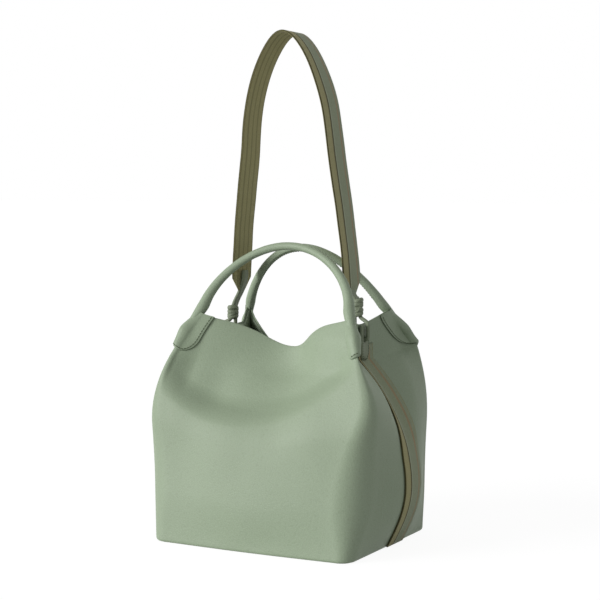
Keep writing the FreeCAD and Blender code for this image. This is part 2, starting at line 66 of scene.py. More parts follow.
Place = Callable[[float, float, float], Vector]
Colour = tuple[float, float, float]


def smooth(t: float) -> float:
    """Smooth step from 0 to 1.

    Args:
        t: Position, held between 0 and 1.

    Returns:
        The eased position.
    """
    t = max(0.0, min(1.0, t))
    return t * t * (3.0 - 2.0 * t)


def mix(a: float, b: float, t: float) -> float:
    """Value between a and b at share t."""
    return a + (b - a) * t


def spread(start: float, stop: float, count: int) -> list[float]:
    """Evenly spaced values from start to stop.

    Args:
        start: First value.
        stop: Last value.
        count: Number of values.

    Returns:
        The values in order.
    """
    return [mix(start, stop, i / (count - 1)) for i in range(count)]


def bump(x: float, width: float) -> float:
    """Bell curve of height 1 and the given half width."""
    return math.exp(-(x / width) ** 2)


def distances(line: Sequence[Vector]) -> list[float]:
    """Distance along a line of points at each of them."""
    reach = [0.0]
    for a, b in zip(line, line[1:]):
        reach.append(reach[-1] + (b - a).length)
    return reach


def locate(reach: Sequence[float], distance: float) -> tuple[int, float]:
    """Finds a distance among those of a line's points.

    Args:
        reach: Distance at each point.
        distance: The distance to find.

    Returns:
        Index of the point before it, and the share of the way to the next one.
    """
    k = min(len(reach) - 2, max(0, sum(1 for r in reach if r <= distance) - 1))
    return k, (distance - reach[k]) / max(1e-6, reach[k + 1] - reach[k])


def linear(colour: Colour) -> tuple[float, float, float, float]:
    """Shader colour for a colour given as it looks on a screen.

    Args:
        colour: Red, green and blue from 0 to 1, as seen.

    Returns:
        The linear colour with full alpha.
    """
    def channel(c: float) -> float:
        """One channel of the colour."""
        return c / 12.92 if c <= 0.04045 else ((c + 0.055) / 1.055) ** 2.4

    return (channel(colour[0]), channel(colour[1]), channel(colour[2]), 1.0)


class Side(Enum):
    """Left or right half of the bag, as its sign along X."""

    LEFT = -1
    RIGHT = 1

    @property
    def word(self) -> str:
        """Name of the side in node names."""
        return self.name.lower()


# ---------------------------------------------------------------------- meshes
class Pattern:
    """Gathers the points and faces of one piece and makes its object."""

    def __init__(self) -> None:
        """Starts with nothing."""
        self.points: list[Vector] = []
        self.cloth: list[tuple[float, float]] = []
        self.faces: list[tuple[int, ...]] = []
        self.finish_of_face: list[int] = []

    def rows(self, rows: Sequence[Sequence[Vector]],
             cloth: Sequence[Sequence[tuple[float, float]]] | None = None, loop: bool = False,
             caps: bool = False, finishes: Sequence[int] | None = None) -> None:
        """Adds a grid of points as faces.

        Args:
            rows: Rows of points in millimetres, all of one length.
            cloth: Place of each point on the flat material, in millimetres.
            loop: Whether the last column joins the first.
            caps: Whether the first and last rows are closed with a face.
            finishes: Material index of each column of faces.
        """
        base = len(self.points)
        wide = len(rows[0])
        for k, row in enumerate(rows):
            self.points += list(row)
            self.cloth += list(cloth[k]) if cloth else [(p.x, p.z) for p in row]
        for k in range(len(rows) - 1):
            for i in range(wide if loop else wide - 1):
                j = (i + 1) % wide
                low = base + k * wide
                self.faces.append((low + i, low + j, low + wide + j, low + wide + i))
                self.finish_of_face.append(finishes[i] if finishes else 0)
        if caps:
            self.faces.append(tuple(base + i for i in reversed(range(wide))))
            self.faces.append(tuple(base + (len(rows) - 1) * wide + i for i in range(wide)))
            self.finish_of_face += [0, 0]

    def tube(self, centres: Sequence[Vector], radii: Sequence[float], sides: int) -> None:
        """Adds a round tube with closed ends along a row of points.

        Args:
            centres: Middle points in millimetres.
            radii: Radius at each of them.
            sides: Points round the tube.
        """
        rings = []
        up = Vector((0.0, 1.0, 0.0))
        for k, centre in enumerate(centres):
            along = (centres[min(k + 1, len(centres) - 1)] - centres[max(k - 1, 0)]).normalized()
            across = along.cross(up)
            if across.length < 0.2:
                across = along.cross(Vector((1.0, 0.0, 0.0)))
            across.normalize()
            up = across.cross(along).normalized()
            rings.append([centre + (across * math.cos(a) + up * math.sin(a)) * radii[k]
                          for a in (2.0 * math.pi * i / sides for i in range(sides))])
        self.rows(rings, loop=True, caps=True)

    def make(self, name: str, materials: Sequence[bpy.types.Material], body: str,
             replaces: Sequence[str] = ()) -> bpy.types.Object:
        """Makes the object, gives it its finish and seats it on its body.

        Args:
            name: Name of the piece.
            materials: Its finishes in order of material index.
            body: Body that it rides on, or an empty text to leave it without one.
            replaces: Nodes of the model that it stands for.

        Returns:
            The new object.
        """
        mesh = bpy.data.meshes.new(name)
        mesh.from_pydata([p * MM for p in self.points], [], self.faces)
        layer = mesh.uv_layers.new(name="cloth")
        for loop in mesh.loops:
            u, v = self.cloth[loop.vertex_index]
            layer.data[loop.index].uv = (u * MM, v * MM)
        for polygon, finish in zip(mesh.polygons, self.finish_of_face):
            polygon.material_index = finish
        work = bmesh.new()
        work.from_mesh(mesh)
        bmesh.ops.recalc_face_normals(work, faces=work.faces)
        work.to_mesh(mesh)
        work.free()
        mesh.shade_smooth()
        piece = bpy.data.objects.new(name, mesh)
        bpy.context.scene.collection.objects.link(piece)
        for material in materials:
            mesh.materials.append(material)
        if body:
            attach(piece, body)
        if replaces:
            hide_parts(*replaces)
        return piece


@dataclass(frozen=True)
class Strip:
    """One row across a thick strip: its height, its two edges and how full its thickness is there."""

    b: float
    low: float
    high: float
    full: float = 1.0


def thick_strip(pattern: Pattern, place: Place, strips: Sequence[Strip], bottom: float,
                thickness: float, columns: int, two_faced: bool = False) -> None:
    """Adds a strip of even thickness with rounded edges.

    Args:
        pattern: Where the strip is added.
        place: Gives the point at (across, along, lift).
        strips: Its rows in order.
        bottom: Lift of its underside.
        thickness: Its thickness.
        columns: Columns of faces on each side.
        two_faced: Whether its underside has a finish of its own.
    """
    radius = 0.5 * thickness
    middle = bottom + radius
    arc = (60.0, 25.0, -25.0, -60.0)
    rings = []
    cloth = []
    for strip in strips:
        reach = min(radius, 0.45 * (strip.high - strip.low))
        low = strip.low + reach
        high = strip.high - reach
        span = spread(low, high, columns + 1)
        ring = [(a, radius * strip.full) for a in span]
        turns = [(reach * math.cos(math.radians(t)), radius * strip.full * math.sin(math.radians(t)))
                 for t in arc]
        ring += [(high + out, lift) for out, lift in turns]
        ring += [(a, -radius * strip.full) for a in reversed(span)]
        ring += [(low - out, -lift) for out, lift in turns]
        rings.append([place(a, strip.b, middle + lift) for a, lift in ring])
        cloth.append([(a, strip.b) for a, _ in ring])
    under = 1 if two_faced else 0
    edge = len(arc) // 2
    finishes = [0] * (columns + edge) + [under] * (columns + len(arc) + 1) + [0] * (edge + 1)
    pattern.rows(rings, cloth, loop=True, caps=True, finishes=finishes[:len(rings[0])])


# Places along one stitch and its height over the leather there: it dives in at both ends.
STITCH_SHAPE = ((0.0, -0.35), (0.18, 0.14), (0.5, 0.2), (0.82, 0.14), (1.0, -0.35))


@dataclass(frozen=True)
class Stitching:
    """A row of sewn stitches along a line."""

    pitch: float = 3.4
    length: float = 2.5
    radius: float = 0.34

    def sew(self, pattern: Pattern, line: Sequence[Vector], normals: Sequence[Vector]) -> None:
        """Adds the stitches.

        Args:
            pattern: Where they are added.
            line: Points along the seam, on the leather.
            normals: Direction away from the leather at each point.
        """
        reach = distances(line)

        def at(distance: float) -> tuple[Vector, Vector]:
            """Point and direction at a distance along the seam."""
            k, t = locate(reach, distance)
            return line[k].lerp(line[k + 1], t), normals[k].lerp(normals[k + 1], t).normalized()

        count = int((reach[-1] - self.length) / self.pitch)
        for n in range(count + 1):
            start = n * self.pitch + 0.3
            centres = []
            for share, rise in STITCH_SHAPE:
                point, normal = at(start + share * self.length)
                centres.append(point + normal * rise)
            pattern.tube(centres, [self.radius] * len(centres), 6)


# ---------------------------------------------------------------------- finishes
class Nodes:
    """Short hand for building a node material."""

    def __init__(self, name: str) -> None:
        """Starts an empty material.

        Args:
            name: Name of the material.
        """
        self.material = bpy.data.materials.new(name)
        self.material.use_nodes = True
        self.tree = self.material.node_tree
        self.tree.nodes.clear()
        self.output = self.tree.nodes.new("ShaderNodeOutputMaterial")
        self.shader = self.tree.nodes.new("ShaderNodeBsdfPrincipled")
        self.tree.links.new(self.shader.outputs["BSDF"], self.output.inputs["Surface"])
        self.place = self.tree.nodes.new("ShaderNodeTexCoord")

    def link(self, source: bpy.types.NodeSocket, target: bpy.types.NodeSocket) -> None:
        """Joins two sockets."""
        self.tree.links.new(source, target)

    def noise(self, scale: float, detail: float = 2.0, roughness: float = 0.5) -> bpy.types.NodeSocket:
        """Noise texture.

        Args:
            scale: Its scale per metre.
            detail: Octaves.
            roughness: Weight of the finer octaves.

        Returns:
            Its value socket.
        """
        node = self.tree.nodes.new("ShaderNodeTexNoise")
        node.inputs["Scale"].default_value = scale
        node.inputs["Detail"].default_value = detail
        node.inputs["Roughness"].default_value = roughness
        self.link(self.place.outputs["Object"], node.inputs["Vector"])
        return node.outputs["Fac"]

    def cells(self, scale: float, feature: str) -> bpy.types.NodeSocket:
        """Cell texture.

        Args:
            scale: Its scale per metre.
            feature: Which distance it gives.

        Returns:
            Its distance socket.
        """
        node = self.tree.nodes.new("ShaderNodeTexVoronoi")
        node.feature = feature
        node.inputs["Scale"].default_value = scale
        node.inputs["Randomness"].default_value = 1.0
        self.link(self.place.outputs["Object"], node.inputs["Vector"])
        return node.outputs["Distance"]

    def span(self, value: bpy.types.NodeSocket, low: float, high: float, to_low: float,
             to_high: float) -> bpy.types.NodeSocket:
        """Maps a value from one range to another, held inside it.

        Args:
            value: The value.
            low: Start of its range.
            high: End of its range.
            to_low: What the start becomes.
            to_high: What the end becomes.

        Returns:
            The mapped value.
        """
        node = self.tree.nodes.new("ShaderNodeMapRange")
        for socket, number in zip(("From Min", "From Max", "To Min", "To Max"), (low, high, to_low, to_high)):
            node.inputs[socket].default_value = number
        self.link(value, node.inputs["Value"])
        return node.outputs["Result"]

    def math(self, operation: str, a: bpy.types.NodeSocket | float,
             b: bpy.types.NodeSocket | float = 0.0) -> bpy.types.NodeSocket:
        """Arithmetic on one or two values.

        Args:
            operation: Name of the operation.
            a: First value.
            b: Second value.

        Returns:
            The result.
        """
        node = self.tree.nodes.new("ShaderNodeMath")
        node.operation = operation
        for socket, value in zip(node.inputs, (a, b)):
            if isinstance(value, (int, float)):
                socket.default_value = value
            else:
                self.link(value, socket)
        return node.outputs["Value"]

    def ramp(self, value: bpy.types.NodeSocket, stops: Sequence[tuple[float, Colour]],
             stepped: bool = False) -> bpy.types.NodeSocket:
        """Colour ramp.

        Args:
            value: Where to read it.
            stops: Positions and colours in order.
            stepped: Whether colours change at once.

        Returns:
            Its colour.
        """
        node = self.tree.nodes.new("ShaderNodeValToRGB")
        node.color_ramp.interpolation = "CONSTANT" if stepped else "LINEAR"
        points = node.color_ramp.elements
        while len(points) < len(stops):
            points.new(0.5)
        for point, (position, _) in zip(points, stops):
            point.position = position
        for point, (_, colour) in zip(points, stops):
            point.color = linear(colour)
        self.link(value, node.inputs["Fac"])
        return node.outputs["Color"]

    def multiply(self, a: bpy.types.NodeSocket, b: bpy.types.NodeSocket) -> bpy.types.NodeSocket:
        """Multiplies two colours.

        Args:
            a: First colour.
            b: Second colour.

        Returns:
            Their product.
        """
        node = self.tree.nodes.new("ShaderNodeMix")
        node.data_type = "RGBA"
        node.blend_type = "MULTIPLY"
        node.inputs["Factor"].default_value = 1.0
        self.link(a, node.inputs[6])
        self.link(b, node.inputs[7])
        return node.outputs[2]

    def relief(self, height: bpy.types.NodeSocket, strength: float, depth: float,
               under: bpy.types.NodeSocket | None = None) -> bpy.types.NodeSocket:
        """Bump over the surface.

        Args:
            height: Height from 0 to 1.
            strength: Its strength.
            depth: Depth in metres.
            under: Bump that it lies on.

        Returns:
            The bent normal.
        """
        node = self.tree.nodes.new("ShaderNodeBump")
        node.inputs["Strength"].default_value = strength
        node.inputs["Distance"].default_value = depth
        self.link(height, node.inputs["Height"])
        if under is not None:
            self.link(under, node.inputs["Normal"])
        return node.outputs["Normal"]


WHITE = (1.0, 1.0, 1.0)


@dataclass(frozen=True)
class Leather:
    """Pebble-grained calf leather, dyed through."""

    name: str
    colour: Colour
    deep: Colour
    grain: float = 620.0
    grain_depth: float = 0.00035
    roughness: float = 0.56
    specular: float = 0.42

    def material(self) -> bpy.types.Material:
        """Makes the material."""
        kit = Nodes(self.name)
        tone = kit.noise(11.0, 3.0)
        mottle = kit.noise(420.0, 3.0, 0.6)
        pebble = kit.cells(self.grain, "SMOOTH_F1")
        crease = kit.cells(self.grain, "DISTANCE_TO_EDGE")
        base = kit.ramp(kit.span(tone, 0.3, 0.7, 0.0, 1.0), ((0.0, self.deep), (1.0, self.colour)))
        grain = kit.ramp(kit.span(crease, 0.0, 0.12, 0.0, 1.0), ((0.0, (0.93, 0.935, 0.925)), (1.0, WHITE)))
        speck = kit.ramp(kit.span(mottle, 0.3, 0.7, 0.0, 1.0), ((0.0, (0.97, 0.97, 0.97)), (1.0, WHITE)))
        kit.link(kit.multiply(kit.multiply(base, grain), speck), kit.shader.inputs["Base Color"])
        kit.link(kit.span(mottle, 0.3, 0.7, self.roughness - 0.05, self.roughness + 0.06),
                 kit.shader.inputs["Roughness"])
        kit.shader.inputs["Specular IOR Level"].default_value = self.specular
        cup = kit.relief(kit.span(pebble, 0.0, 0.7, 1.0, 0.0), 0.3, self.grain_depth)
        kit.link(kit.relief(kit.noise(2400.0, 2.0), 0.12, 0.0001, cup), kit.shader.inputs["Normal"])
        return kit.material


@dataclass(frozen=True)
class Webbing:
    """Close woven band with lengthwise stripes; the stops run across its width from 0 to 1."""

    name: str
    stripes: tuple[tuple[float, Colour], ...]
    width: float = 40.0
    rib: float = 1.25
    pick: float = 0.9
    roughness: float = 0.78

    def material(self) -> bpy.types.Material:
        """Makes the material."""
        kit = Nodes(self.name)
        split = kit.tree.nodes.new("ShaderNodeSeparateXYZ")
        kit.link(kit.place.outputs["UV"], split.inputs["Vector"])
        wander = kit.span(kit.noise(40.0, 2.0), 0.3, 0.7, -0.0002, 0.0002)
        across = kit.math("ADD", split.outputs["X"], wander)
        share = kit.span(across, -0.5 * self.width * MM, 0.5 * self.width * MM, 0.0, 1.0)
        stripes = kit.ramp(share, self.stripes, stepped=True)
        rib = kit.math("SINE", kit.math("MULTIPLY", split.outputs["X"], 2.0 * math.pi / (self.rib * MM)))
        pick = kit.math("SINE", kit.math("MULTIPLY", split.outputs["Y"], 2.0 * math.pi / (self.pick * MM)))
        weave = kit.span(kit.math("MULTIPLY", rib, pick), -1.0, 1.0, 0.0, 1.0)
        shade = kit.ramp(weave, ((0.0, (0.86, 0.86, 0.85)), (1.0, WHITE)))
        fuzz = kit.ramp(kit.noise(900.0, 3.0, 0.7), ((0.3, (0.9, 0.9, 0.9)), (0.7, WHITE)))
        kit.link(kit.multiply(kit.multiply(stripes, shade), fuzz), kit.shader.inputs["Base Color"])
        kit.shader.inputs["Roughness"].default_value = self.roughness
        kit.shader.inputs["Specular IOR Level"].default_value = 0.25
        kit.shader.inputs["Sheen Weight"].default_value = 0.12
        kit.link(kit.relief(weave, 0.5, 0.0003), kit.shader.inputs["Normal"])
        return kit.material


@dataclass(frozen=True)
class Cloth:
    """Plain woven cloth, cord or thread in one colour."""

    name: str
    colour: Colour
    deep: Colour
    weave: float = 900.0
    roughness: float = 0.85

    def material(self) -> bpy.types.Material:
        """Makes the material."""
        kit = Nodes(self.name)
        thread = kit.noise(self.weave, 2.0)
        kit.link(kit.ramp(kit.span(thread, 0.3, 0.7, 0.0, 1.0), ((0.0, self.deep), (1.0, self.colour))),
                 kit.shader.inputs["Base Color"])
        kit.shader.inputs["Roughness"].default_value = self.roughness
        kit.shader.inputs["Specular IOR Level"].default_value = 0.25
        kit.link(kit.relief(thread, 0.4, 0.0002), kit.shader.inputs["Normal"])
        return kit.material


OLIVE = (0.74, 0.72, 0.52)
OLIVE_DEEP = (0.63, 0.61, 0.43)
GREY_GREEN = (0.67, 0.71, 0.59)
# Dark woven line; where it starts the webbing's face, the same colour is painted shade along that edge.
WOVEN_LINE_AND_EDGE_SHADE = (0.33, 0.32, 0.18)
LINE_PALE = (0.76, 0.80, 0.68)
ROSE_OLIVE = (0.72, 0.65, 0.52)


class Finishes:
    """All the materials of the bag, made once."""

    def __init__(self) -> None:
        """Makes every material."""
        self.leather = Leather("sage_leather", (0.598, 0.658, 0.560), (0.590, 0.649, 0.551)).material()
        self.cut_leather = Leather("lace_leather", (0.52, 0.56, 0.47), (0.49, 0.53, 0.44),
                                   grain=900.0, grain_depth=0.0002).material()
        # Darker cut edge of the tabs: the leather's edge colour, deepened further as painted shade along each
        # tab's edge.
        self.shaded_cut_edge = Leather("shaded_cut_edge", (0.36, 0.41, 0.32), (0.33, 0.38, 0.29),
                                grain=900.0, grain_depth=0.0001).material()
        # The face's first stripe is painted shade along its front edge; the dark stripe at 0.33 is woven.
        self.web_face = Webbing("webbing_face", (
            (0.0, WOVEN_LINE_AND_EDGE_SHADE), (0.03, OLIVE), (0.29, OLIVE_DEEP), (0.33, WOVEN_LINE_AND_EDGE_SHADE), (0.39, LINE_PALE),
            (0.43, GREY_GREEN), (0.79, ROSE_OLIVE), (0.86, GREY_GREEN), (0.97, OLIVE_DEEP))).material()
        self.web_back = Webbing("webbing_back", (
            (0.0, OLIVE_DEEP), (0.06, OLIVE), (0.22, OLIVE_DEEP), (0.30, OLIVE), (0.47, OLIVE_DEEP),
            (0.52, OLIVE), (0.70, OLIVE_DEEP), (0.76, OLIVE), (0.94, OLIVE_DEEP))).material()
        self.lining = Cloth("lining_cloth", (0.42, 0.44, 0.35), (0.36, 0.38, 0.30)).material()
        self.cord = Cloth("cord_core", (0.80, 0.78, 0.72), (0.68, 0.66, 0.60)).material()
        self.board = Cloth("stiff_board", (0.28, 0.28, 0.26), (0.24, 0.24, 0.22), 300.0).material()
        self.thread = Cloth("sewing_thread", (0.36, 0.40, 0.31), (0.28, 0.32, 0.24), 2500.0, 0.7).material()


# ---------------------------------------------------------------------- walls
@dataclass(frozen=True)
class Hollow:
    """A soft hollow (or, with a negative depth, a swelling) pressed into a wall."""

    x: float
    z: float
    wide: float
    high: float
    depth: float
    turn: float = 0.0

    def depth_at(self, x: float, z: float) -> float:
        """Depth of the hollow at a place on the wall.

        Args:
            x: Place along the wall.
            z: Height.

        Returns:
            Depth in millimetres.
        """
        angle = math.radians(self.turn)
        dx = (x - self.x) * math.cos(angle) + (z - self.z) * math.sin(angle)
        dz = -(x - self.x) * math.sin(angle) + (z - self.z) * math.cos(angle)
        return self.depth * math.exp(-(dx / self.wide) ** 2 - (dz / self.high) ** 2)


@dataclass(frozen=True)
class Sides:
    """Sizes that both walls share."""

    base_width: float = 237.0
    base_depth: float = 198.0
    edge_radius: float = 4.0
    corner_radius: float = 16.0
    corner_radius_full: float = 34.0
    corner_radius_top: float = 8.0
    full_z: float = 60.0
    fullness: float = 0.29
    shoulder_z: float = 125.0
    belly: float = 7.0
    line_y: float = 6.0
    swell: float = 22.5
    swell_z: float = 70.0
    top_x: float = 80.0
    left_top_z: float = 227.0
    right_top_z: float = 234.0
    left_drop: float = 0.28
    tuck_z: float = 205.0
    tuck_late: float = 2.0
    fold_start_z: float = 98.0
    fold_full_z: float = 193.0
    fold_depth: float = 18.0
    fold_relax: float = 0.5
    crest_start: float = 0.80
    crest_fall: float = 0.70
    front_share: float = 0.475
    corner_share: float = 0.12

    @property
    def corner(self) -> float:
        """The u of the middle of a corner."""
        return self.front_share + 0.5 * self.corner_share

    def top_z(self, side: int) -> float:
        """Height of the top edge at the side line: the left side has sunk a little."""
        return self.left_top_z if side < 0 else self.right_top_z

    def line_x(self, z: float) -> float:
        """X of the side line at a height."""
        widest = 0.5 * self.base_width + self.swell
        if z < self.swell_z:
            return 0.5 * self.base_width + self.swell * math.sin(0.5 * math.pi * max(0.0, z) / self.swell_z)
        t = min(1.0, (z - self.swell_z) / (self.tuck_z - self.swell_z))
        return mix(widest, self.top_x, t ** self.tuck_late)


@dataclass(frozen=True)
class Wall:
    """One wall of the bag, front or back, from side line to side line."""

    name: str
    sign: int
    root_x: float
    root_y: float
    root_z: float
    top_drop: float
    foot_x: float
    foot_y: float
    foot_z: float
    swell_x: float
    draw_y: float
    lean: float
    arch_y: float
    arch_z: float
    arch_angle: float
    lip_z: float
    lip_x: float
    lip_back: float
    lip_width: float
    lip_right: float
    shelf: float
    shelf_power: float
    handle_radius: float
    hollows: tuple[Hollow, ...] = ()
    lean_start: float = 0.42
    lean_power: float = 1.7
    dip_power: float = 2.15
    belly_start: float = 0.12
    belly_share: float = 0.8
    right_bulge: float = 0.0
    bulge_z: float = 160.0
    bulge_high: float = 36.0
    sag: float = 0.0
    sag_x: float = -20.0
    sag_z: float = 128.0
    sag_curve: float = 0.0035
    sag_onset: float = 36.0
    sag_end_z: float = 188.0
    sag_fade: float = 40.0
    fade_u: float = 0.16
    fade_v: float = 0.08
    waves: float = 0.9
    sides: Sides = field(default_factory=Sides)

    @property
    def height(self) -> float:
        """Height of the top edge at the corners."""
        return self.root_z - self.top_drop

    def root(self, side: int) -> Vector:
        """Middle of a handle's end."""
        return Vector((side * self.root_x, self.sign * self.root_y, self.root_z))

    def ridge(self, z: float) -> tuple[float, float]:
        """Half width and half depth of the corner at a height.

        Args:
            z: Height.

        Returns:
            Distances of the ridge from the middle along X and Y.
        """
        sides = self.sides
        rise = math.sin(0.5 * math.pi * min(z / sides.shoulder_z, 1.0))
        if z > self.foot_z:
            t = (z - self.foot_z) / (self.root_z - self.foot_z)
            return mix(self.foot_x, self.root_x, t), mix(self.foot_y, self.root_y, t)
        t = max(0.0, (z - sides.shoulder_z) / (self.foot_z - sides.shoulder_z))
        return (mix(0.5 * sides.base_width + self.swell_x * rise, self.foot_x, t * t),
                mix(0.5 * sides.base_depth - self.draw_y * rise, self.foot_y, t ** self.lean))

    def top_edge(self, u: float) -> float:
        """Height of the top edge.

        Args:
            u: Place along the wall.

        Returns:
            The height.
        """
        corner = self.sides.corner
        if abs(u) >= corner:
            share = (abs(u) - corner) / (1.0 - corner) / (self.sides.left_drop if u < 0.0 else 1.0)
            return mix(self.height, self.sides.top_z(-1 if u < 0.0 else 1), smooth(share))
        q = u / corner
        off = q - 2.0 * self.lip_x / self.sides.base_width
        reach = self.lip_width if off < 0.0 else self.lip_right
        dip = (self.height - self.shelf - self.lip_z) * math.exp(-(abs(off) / reach) ** self.dip_power)
        return self.height - self.shelf * (1.0 - abs(q) ** self.shelf_power) - dip

    def shift(self, q: float, z: float, half_x: float, shrink: float) -> float:
        """How far the side stands out from the corner's width.

        Args:
            q: Place from the corner (0) to the side line (1).
            z: Height.
            half_x: Half width at the corner.
            shrink: How far the turned edge draws in.

        Returns:
            The distance along X.
        """
        sides = self.sides
        line_x = sides.line_x(z) - shrink
        deep = sides.fold_depth * smooth((z - sides.fold_start_z) / (sides.fold_full_z - sides.fold_start_z))
        deep *= 1.0 - sides.fold_relax * smooth((z - sides.fold_full_z) / (self.root_z - sides.fold_full_z))
        risen = max(0.0, (z - sides.fold_start_z) / (self.root_z - sides.fold_start_z))
        crest = sides.crest_start - sides.crest_fall * risen
        if q < crest:
            eased = (q / crest) ** 2 * 1.2 / (q / crest + 0.2)
            return (line_x + deep - half_x) * math.sin(0.5 * math.pi * eased)
        return line_x + deep - half_x - deep * smooth((q - crest) / (1.0 - crest))

    def outside(self, u: float, v: float) -> Vector:
        """Point on the plain outside of the wall, before its hollows.

        Args:
            u: Place along the wall.
            v: Share of the height.

        Returns:
            The point.
        """
        sides = self.sides
        z_corner = v * self.height
        shrink = 0.0
        if z_corner < sides.edge_radius:
            shrink = sides.edge_radius - math.sqrt(
                max(0.0, sides.edge_radius ** 2 - (sides.edge_radius - z_corner) ** 2))
        half_x, half_y = self.ridge(z_corner)
        radius = mix(sides.corner_radius, sides.corner_radius_full, smooth(z_corner / sides.full_z))
        radius = mix(radius, sides.corner_radius_top,
                     smooth((z_corner - sides.full_z) / (self.foot_z - sides.full_z))) - shrink
        ease = 1.0 - smooth((z_corner - sides.full_z) / (self.foot_z - sides.full_z))
        fuller = sides.fullness * (radius + shrink - sides.corner_radius * ease)
        half_x += fuller - shrink
        half_y += fuller - shrink
        s = abs(u)
        side_start = sides.front_share + sides.corner_share
        if s <= sides.front_share:
            x = (half_x - radius) * s / sides.front_share
            y = -half_y
        elif s <= side_start:
            angle = 0.5 * math.pi * (s - sides.front_share) / sides.corner_share
            x = half_x - radius + radius * math.sin(angle)
            y = -(half_y - radius) - radius * math.cos(angle)
        else:
            x = half_x
            y = mix(-(half_y - radius), -sides.line_y * self.sign, (s - side_start) / (1.0 - side_start))
        if s < sides.corner:
            middle = (1.0 - (s / sides.corner) ** 2) ** 2
            lean_back = max(0.0, (v - self.lean_start) / (1.0 - self.lean_start)) ** self.lean_power
            belly_v = min(1.0, v / self.belly_share + self.belly_start)
            belly = sides.belly * math.sin(math.pi * belly_v)
            y += middle * (self.lip_back * lean_back - belly)
        else:
            x += self.shift((s - sides.corner) / (1.0 - sides.corner), z_corner, half_x, shrink)
        if u > 0.0:
            past = 1.0 - smooth((s - sides.corner) / (1.0 - sides.corner))
            bulge = self.right_bulge * bump(z_corner - self.bulge_z, self.bulge_high)
            x += bulge * smooth(s / sides.corner) * past
        return Vector((math.copysign(x, u), -y * self.sign, v * self.top_edge(u)))

    def outward(self, u: float, v: float) -> Vector:
        """Direction square to the wall, out of the bag.

        Args:
            u: Place along the wall.
            v: Share of the height.

        Returns:
            A unit vector.
        """
        low = v if v * self.height < self.sides.edge_radius else max(0.0, v - U_STEP)
        across = self.outside(min(1.0, u + U_STEP), v) - self.outside(max(-1.0, u - U_STEP), v)
        along = self.outside(u, v + U_STEP) - self.outside(u, low)
        return across.cross(along).normalized() * -self.sign

    def sink(self, u: float, v: float, point: Vector) -> float:
        """Depth of the hollows at a place; none at the base, the corners and under the tabs.

        Args:
            u: Place along the wall.
            v: Share of the height.
            point: The plain point there.

        Returns:
            Depth in millimetres.
        """
        if abs(u) >= self.sides.corner:
            return 0.0
        fade = smooth((self.sides.corner - abs(u)) / self.fade_u) * smooth(v / self.fade_v)
        depth = sum(h.depth_at(point.x, point.z) for h in self.hollows)
        crease_z = self.sag_z + self.sag_curve * (point.x - self.sag_x) ** 2
        sagging = smooth((point.z - crease_z) / self.sag_onset)
        depth += self.sag * sagging * (1.0 - smooth((point.z - self.sag_end_z) / self.sag_fade))
        wave = noise.noise(Vector((point.x * 0.021, point.z * 0.016, 3.1 * self.sign)))
        return fade * (depth + self.waves * wave)

    def at(self, u: float, v: float, lift: float = 0.0) -> Vector:
        """Point over the leather.

        Args:
            u: Place along the wall.
            v: Share of the height.
            lift: Height over the outside of the leather.

        Returns:
            The point.
        """
        plain = self.outside(u, v)
        return plain + self.outward(u, v) * (lift - self.sink(u, v, plain))

    def walk(self, u: float, v: float, distance: float) -> float:
        """The u at a distance along the wall.

        Args:
            u: Where to start.
            v: Share of the height.
            distance: Signed distance in millimetres.

        Returns:
            The u reached.
        """
        step = math.copysign(U_STEP, distance)
        here = self.outside(u, v)
        left = abs(distance)
        while left > 0.0 and abs(u + step) <= 1.0:
            ahead = self.outside(u + step, v)
            length = (ahead - here).length
            if length > left:
                return u + step * left / length
            left -= length
            u += step
            here = ahead
        return u


FRONT = Wall(
    name="front", sign=-1,
    root_x=87.0, root_y=37.0, root_z=251.0, top_drop=6.4, foot_x=107.5, foot_y=63.0, foot_z=208.0,
    swell_x=8.5, draw_y=12.5, lean=1.8, arch_y=5.0, arch_z=315.0, arch_angle=84.0,
    lip_z=213.0, lip_x=17.0, lip_back=21.0, lip_width=0.46, lip_right=0.29, shelf=11.8, shelf_power=2.5,
    handle_radius=6.2, hollows=(Hollow(-56.0, 172.0, 24.0, 30.0, 4.0, -10.0),), right_bulge=9.0, sag=13.0)
BACK = Wall(
    name="back", sign=1,
    root_x=82.0, root_y=56.0, root_z=251.0, top_drop=5.0, foot_x=107.0, foot_y=91.0, foot_z=208.0,
    swell_x=5.0, draw_y=11.5, lean=2.5, arch_y=25.0, arch_z=312.5, arch_angle=64.0,
    lip_z=194.0, lip_x=0.0, lip_back=28.0, lip_width=0.60, lip_right=0.60, shelf=40.0, shelf_power=3.2,
    handle_radius=5.5,
    hollows=(Hollow(-40.0, 165.0, 34.0, 36.0, 3.5, 10.0), Hollow(48.0, 160.0, 30.0, 40.0, 3.0, -12.0)))
WALLS = (FRONT, BACK)


